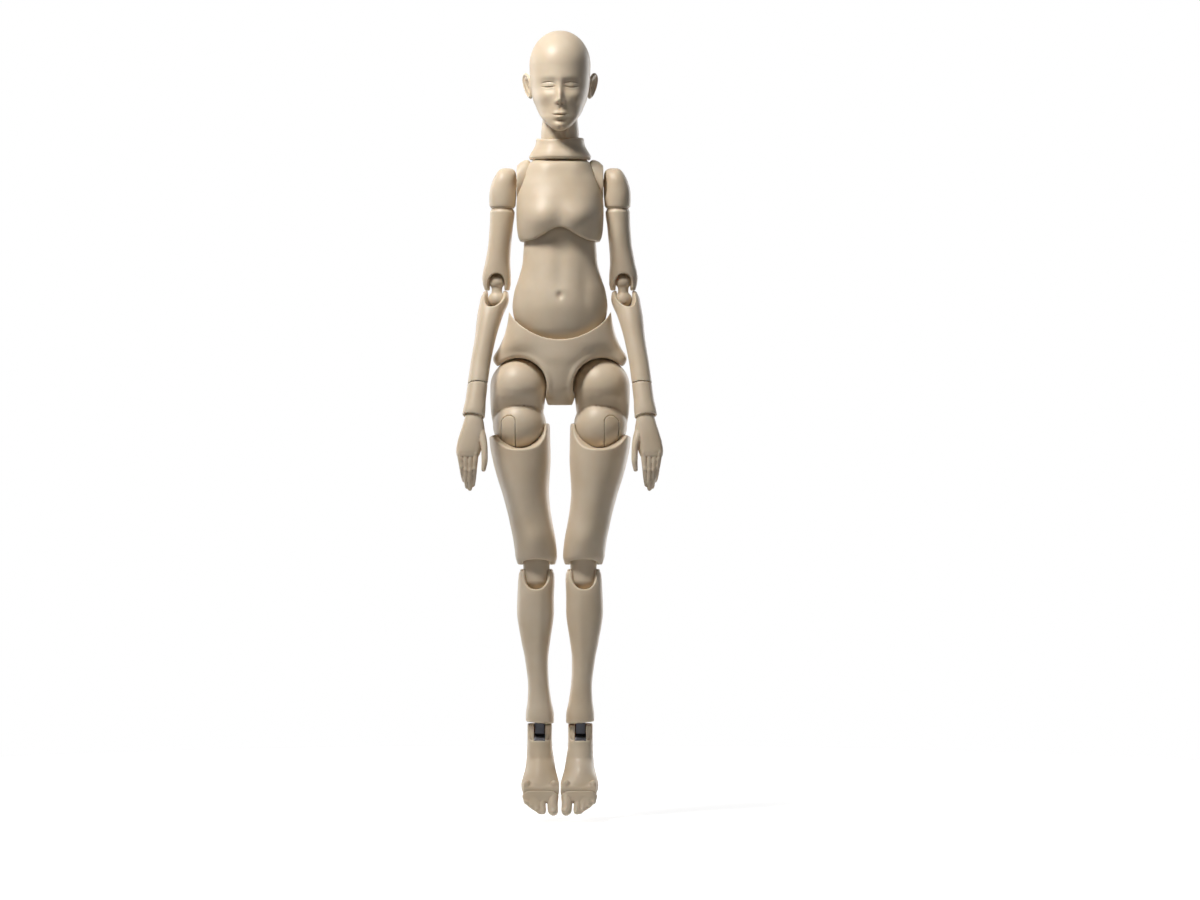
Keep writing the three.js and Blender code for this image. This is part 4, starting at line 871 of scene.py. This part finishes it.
def make_shin(side):
    """Knee link, shin and the metal ankle block."""
    link = limb([(0.3, 5.1, 3.3), (-2.4, 5.1, 3.2), (-6.4, 5.0, 3.2), (-9.0, 4.8, 3.4)],
                dome(3.5, 0.9), dome(3.0, 0.6), rows=48, columns=80)
    side_piece(side, "knee_knuckle", [link + KNEE_TOP], "knee_link")
    sections = [(3.7, 6.3, 3.4, 3.2), (2.2, 6.8, 4.6, 4.4), (-1.0, 7.0, 5.8, 5.7, 0.1), (-5.6, 7.0, 6.4, 7, 0.3),
                (-11.4, 7.1, 6.2, 8.2, 0.4), (-22.8, 5.6, 5.2, 7, 0.3), (-29.7, 4.5, 4.6, 5.4, 0),
                (-38.9, 4.0, 4.2, 4.4, -0.7), (-45.8, 4.5, 4.4, 4.6, -1.1), (-51.9, 5.4, 5.2, 5.4, -1.3),
                (-53.75, 5.4, 5.2, 5.3, -1.3)]
    shin = limb(sections, cup(1.3, 4.5, wave(0.35, 1)), cup(1.3, 8.5, notch(-7.6, 5.3, 6.8)), rows=120, columns=120)
    shin = swell(shin, (-1.4, -5, -22), (1.6, 4, 14), (0, -0.4, 0))
    side_piece(side, "shin_limb", [shin + KNEE_LOW], "shin")
    bevel = dome(0.2, 0.2)
    knuckle = sideways(limb([(-1.9, ANKLE_TURN, ANKLE_TURN), (1.9, ANKLE_TURN, ANKLE_TURN)], bevel, bevel,
                            rows=6, columns=96))
    post = limb([(0, 1.9, 0.6, 2.3), (9.6, 1.9, 0.6, 2.3)], bevel, bevel, rows=24, columns=72, power=8)
    slit = block((-1.5, -6, 1.5), (1.5, -3.0, 2.0), ANKLE)
    side_piece(side, "ankle_metal", [knuckle + ANKLE, post + ANKLE], "ankle_block",
               cuts=[slit], voxel=0.12, rounds=2, slot="dark_metal")


SLOT_HALF = 2.1
# Each toe: x, radius and length
TOES = [(-4.6, 2.05, 10.1), (-0.6, 1.35, 9.6), (1.7, 1.35, 8.6), (3.7, 1.3, 7.3), (5.4, 1.25, 5.9)]


def foot_rim(angle):
    """The rim around the ankle: low in front, then a smooth step up to the sides and the back."""
    t = np.clip((np.sin(angle) + 0.62) / 0.5, 0, 1)
    return -0.9 + 6.4 * t * t * (3 - 2 * t)


def make_foot(side):
    """Foot and toes: a lofted pointed foot with a cup around the ankle, and a toe piece of five digits.

    The foot ends in a barrel about the toe pin, and the hollow base of the toe piece lies on it.
    """
    foot = limb([(1.7, 4.7, 4.5, 4.6), (-1, 4.8, 4.8, 5.5), (-5, 5.2, 5.8, 7, -0.2),
                 (-9.5, 5.8, 7, 8.8, -0.3, -2.5), (-13, 6.8, 4.6, 5.2, -0.3, -7),
                 (-14.9, 7.25, 3.2, 3.2, -0.3, -9.3), (-16.7, 7.1, TOE_TURN, TOE_TURN, -0.3, -10.5)],
                dome(TOE_TURN, 0.6), cup(0.9, 3.4, foot_rim), rows=110, columns=120)
    barrel = sideways(limb([(-6.5, TOE_TURN, TOE_TURN), (6.3, TOE_TURN, TOE_TURN)], dome(0.5, 0.3), dome(0.5, 0.3),
                           rows=8, columns=72)) + TOE - ANKLE
    foot = swell(foot, (0.5, -8, -9), (2.4, 5, 6), (0, -0.5, 0))
    cheeks = limb([(-2, 4.3, 3.5, 4.1), (4, 4.3, 3.4, 4.1), (6.4, 4.3, 3.0, 4.0)], dome(0.3), dome(1.0, 0.4),
                  rows=24, columns=72)
    bosses = [ball(1.5, (x, -11.9, -14.9), rows=20, columns=28, stretch=(0.9, 0.7, 1.1)) for x in (-5.6, 4.9)]
    slot = block((-SLOT_HALF, -3.8, 0.0), (SLOT_HALF, 3.2, 12), ANKLE)
    side_piece(side, "foot_skin", [grid + ANKLE for grid in [foot, barrel, cheeks, *bosses]], "foot",
               cuts=[rod(ANKLE_TURN + GAP, SLOT_HALF, ANKLE), slot], voxel=0.24, rounds=2)
    base = limb([(-0.5, 7.0, 3.0, 3.0, 0.2), (-2.2, 6.95, 2.7, 2.9, 0.2, -0.4), (-4.2, 6.5, 2.2, 2.4, 0.1, -0.9)],
                dome(1.2), dome(0.1), rows=40, columns=72, power=3.5)
    small = limb([(-2.4, 4.2, 2.3, 2.3, 2.4, -0.6), (-4.5, 4.0, 2.1, 2.1, 2.3, -1.3),
                  (-6, 3.5, 1.8, 1.8, 1.8, -1.9), (-7.5, 2.6, 1.5, 1.5, 0.9, -2.5),
                  (-8.6, 1.6, 1.2, 1.2, -0.1, -2.9)],
                 dome(0.9), dome(0.8), rows=48, columns=64)
    digits = [small]
    for x, radius, length in TOES:
        way = [(x * 1.06, -0.8, -2.4), (x, -0.22 * length, -0.55 * length),
               (x - 0.02 * length, -0.32 * length, -0.8 * length),
               (x - 0.03 * length, -0.36 * length, -length + 0.9 * radius)]
        digits.append(tube(way, [radius, radius, radius, 0.88 * radius], sides=28))
    side_piece(side, "toe_skin", [grid + TOE for grid in [base, *digits]], "toes",
               cuts=[rod(TOE_TURN + 0.2, 9, TOE)], voxel=0.2, rounds=5)


make_pelvis()
make_abdomen()
make_chest()
make_neck()
make_head()
for side in SIDE:
    make_shoulder(side)
    make_arm(side)
    make_hand(side)
    make_thigh(side)
    make_shin(side)
    make_foot(side)


# The frame's solids take the same finishes. Those that no piece replaces are the pins, hidden balls and waist post

for subpart in frame["record"]["subparts"]:
    node = frame["nodes"][subpart["node"]]
    for index in range(len(node.data.materials)):
        node.data.materials[index] = FINISH[subpart["material_slot"]]


# Stage

def lamp(name, place, aim, size, power, tint=(1, 1, 1), spread=180):
    """A soft rectangular lamp at a place in metres, turned to face its aim."""
    data = bpy.data.lights.new(name, "AREA")
    data.shape, data.size, data.size_y = "RECTANGLE", size[0], size[1]
    data.energy, data.color, data.spread = power, tint, math.radians(spread)
    made = add(name, data)
    made.location = place
    made.rotation_euler = (Vector(aim) - Vector(place)).to_track_quat("-Z", "Y").to_euler()


def background_share(nodes, links):
    """One for the rays that see the background: those of the camera, of gloss and of glass."""
    path = nodes.new("ShaderNodeLightPath")
    share = path.outputs["Is Camera Ray"]
    for name in ("Is Glossy Ray", "Is Transmission Ray"):
        most = nodes.new("ShaderNodeMath")
        most.operation = "MAXIMUM"
        links.new(share, most.inputs[0])
        links.new(path.outputs[name], most.inputs[1])
        share = most.outputs[0]
    return share


def make_world():
    """A weak even light all round, seen as white."""
    world = bpy.data.worlds.new("studio")
    world.use_nodes = True
    bpy.context.scene.world = world
    nodes, links = world.node_tree.nodes, world.node_tree.links
    back = nodes["Background"]
    back.inputs["Color"].default_value = (1, 1, 1, 1)
    links.new(ramp(nodes, links, background_share(nodes, links), 0, 1, 0.03, 1.0), back.inputs["Strength"])


def make_floor(level, reach):
    """A pale round floor under the toes: P = (r cos a, r sin a, level), with white let in towards its edge."""
    a = np.arange(96) * 2 * np.pi / 96
    r = np.array([0.0, 0.3, 0.7, 1.0, 1.0, 0.0])[:, None] * reach / MM
    low = np.array([0.0, 0.0, 0.0, 0.0, -1.0, -1.0])[:, None]
    disc = np.stack([r * np.cos(a), r * np.sin(a), level / MM + low + 0 * a], axis=-1)[::-1]
    floor = add("floor", write_mesh("floor", [disc]))
    paper = bpy.data.materials.new("pale_floor")
    paper.use_nodes = True
    nodes, links = paper.node_tree.nodes, paper.node_tree.links
    shader = nodes["Principled BSDF"]
    shader.inputs["Base Color"].default_value = (0.8, 0.8, 0.8, 1)
    shader.inputs["Roughness"].default_value = 0.9
    shader.inputs["Emission Color"].default_value = (1, 1, 1, 1)
    length = nodes.new("ShaderNodeVectorMath")
    length.operation = "LENGTH"
    links.new(nodes.new("ShaderNodeTexCoord").outputs["Object"], length.inputs[0])
    outward = ramp(nodes, links, length.outputs["Value"], level * -1.2, reach, 0.72, 1.0)
    seen = nodes.new("ShaderNodeMath")
    seen.operation = "MULTIPLY"
    links.new(outward, seen.inputs[0])
    links.new(background_share(nodes, links), seen.inputs[1])
    links.new(seen.outputs[0], shader.inputs["Emission Strength"])
    floor.data.materials.append(paper)


FLOOR_LEVEL, FLOOR_REACH = -0.159, 0.45
SENSOR = 36
CAMERA = (0.0153, -1.8, -0.0172)
FRAME_WIDTH = 0.4592

make_world()
make_floor(FLOOR_LEVEL, FLOOR_REACH)
lamp("key", (-0.2, -0.21, 0.42), (0.0, 0.0, 0.03), (0.12, 0.12), 0.8, (1.0, 0.98, 0.95), 110)
lamp("fill", (-0.5, -0.9, 0.0), (0.0, 0.0, -0.03), (0.5, 0.5), 0.04)
lamp("left_rim", (-0.45, 0.35, 0.05), (0, 0, 0), (0.12, 0.5), 0.9)
lamp("right_rim", (0.4, 0.5, 0.05), (0, 0, -0.02), (0.12, 0.5), 1.3)

camera = add("camera", bpy.data.cameras.new("camera"))
camera.data.sensor_width = SENSOR
camera.data.lens = SENSOR * -CAMERA[1] / FRAME_WIDTH
camera.location = CAMERA
camera.rotation_euler = (math.pi / 2, 0, 0)
bpy.context.scene.camera = camera
bpy.context.scene.view_settings.view_transform = "Standard"
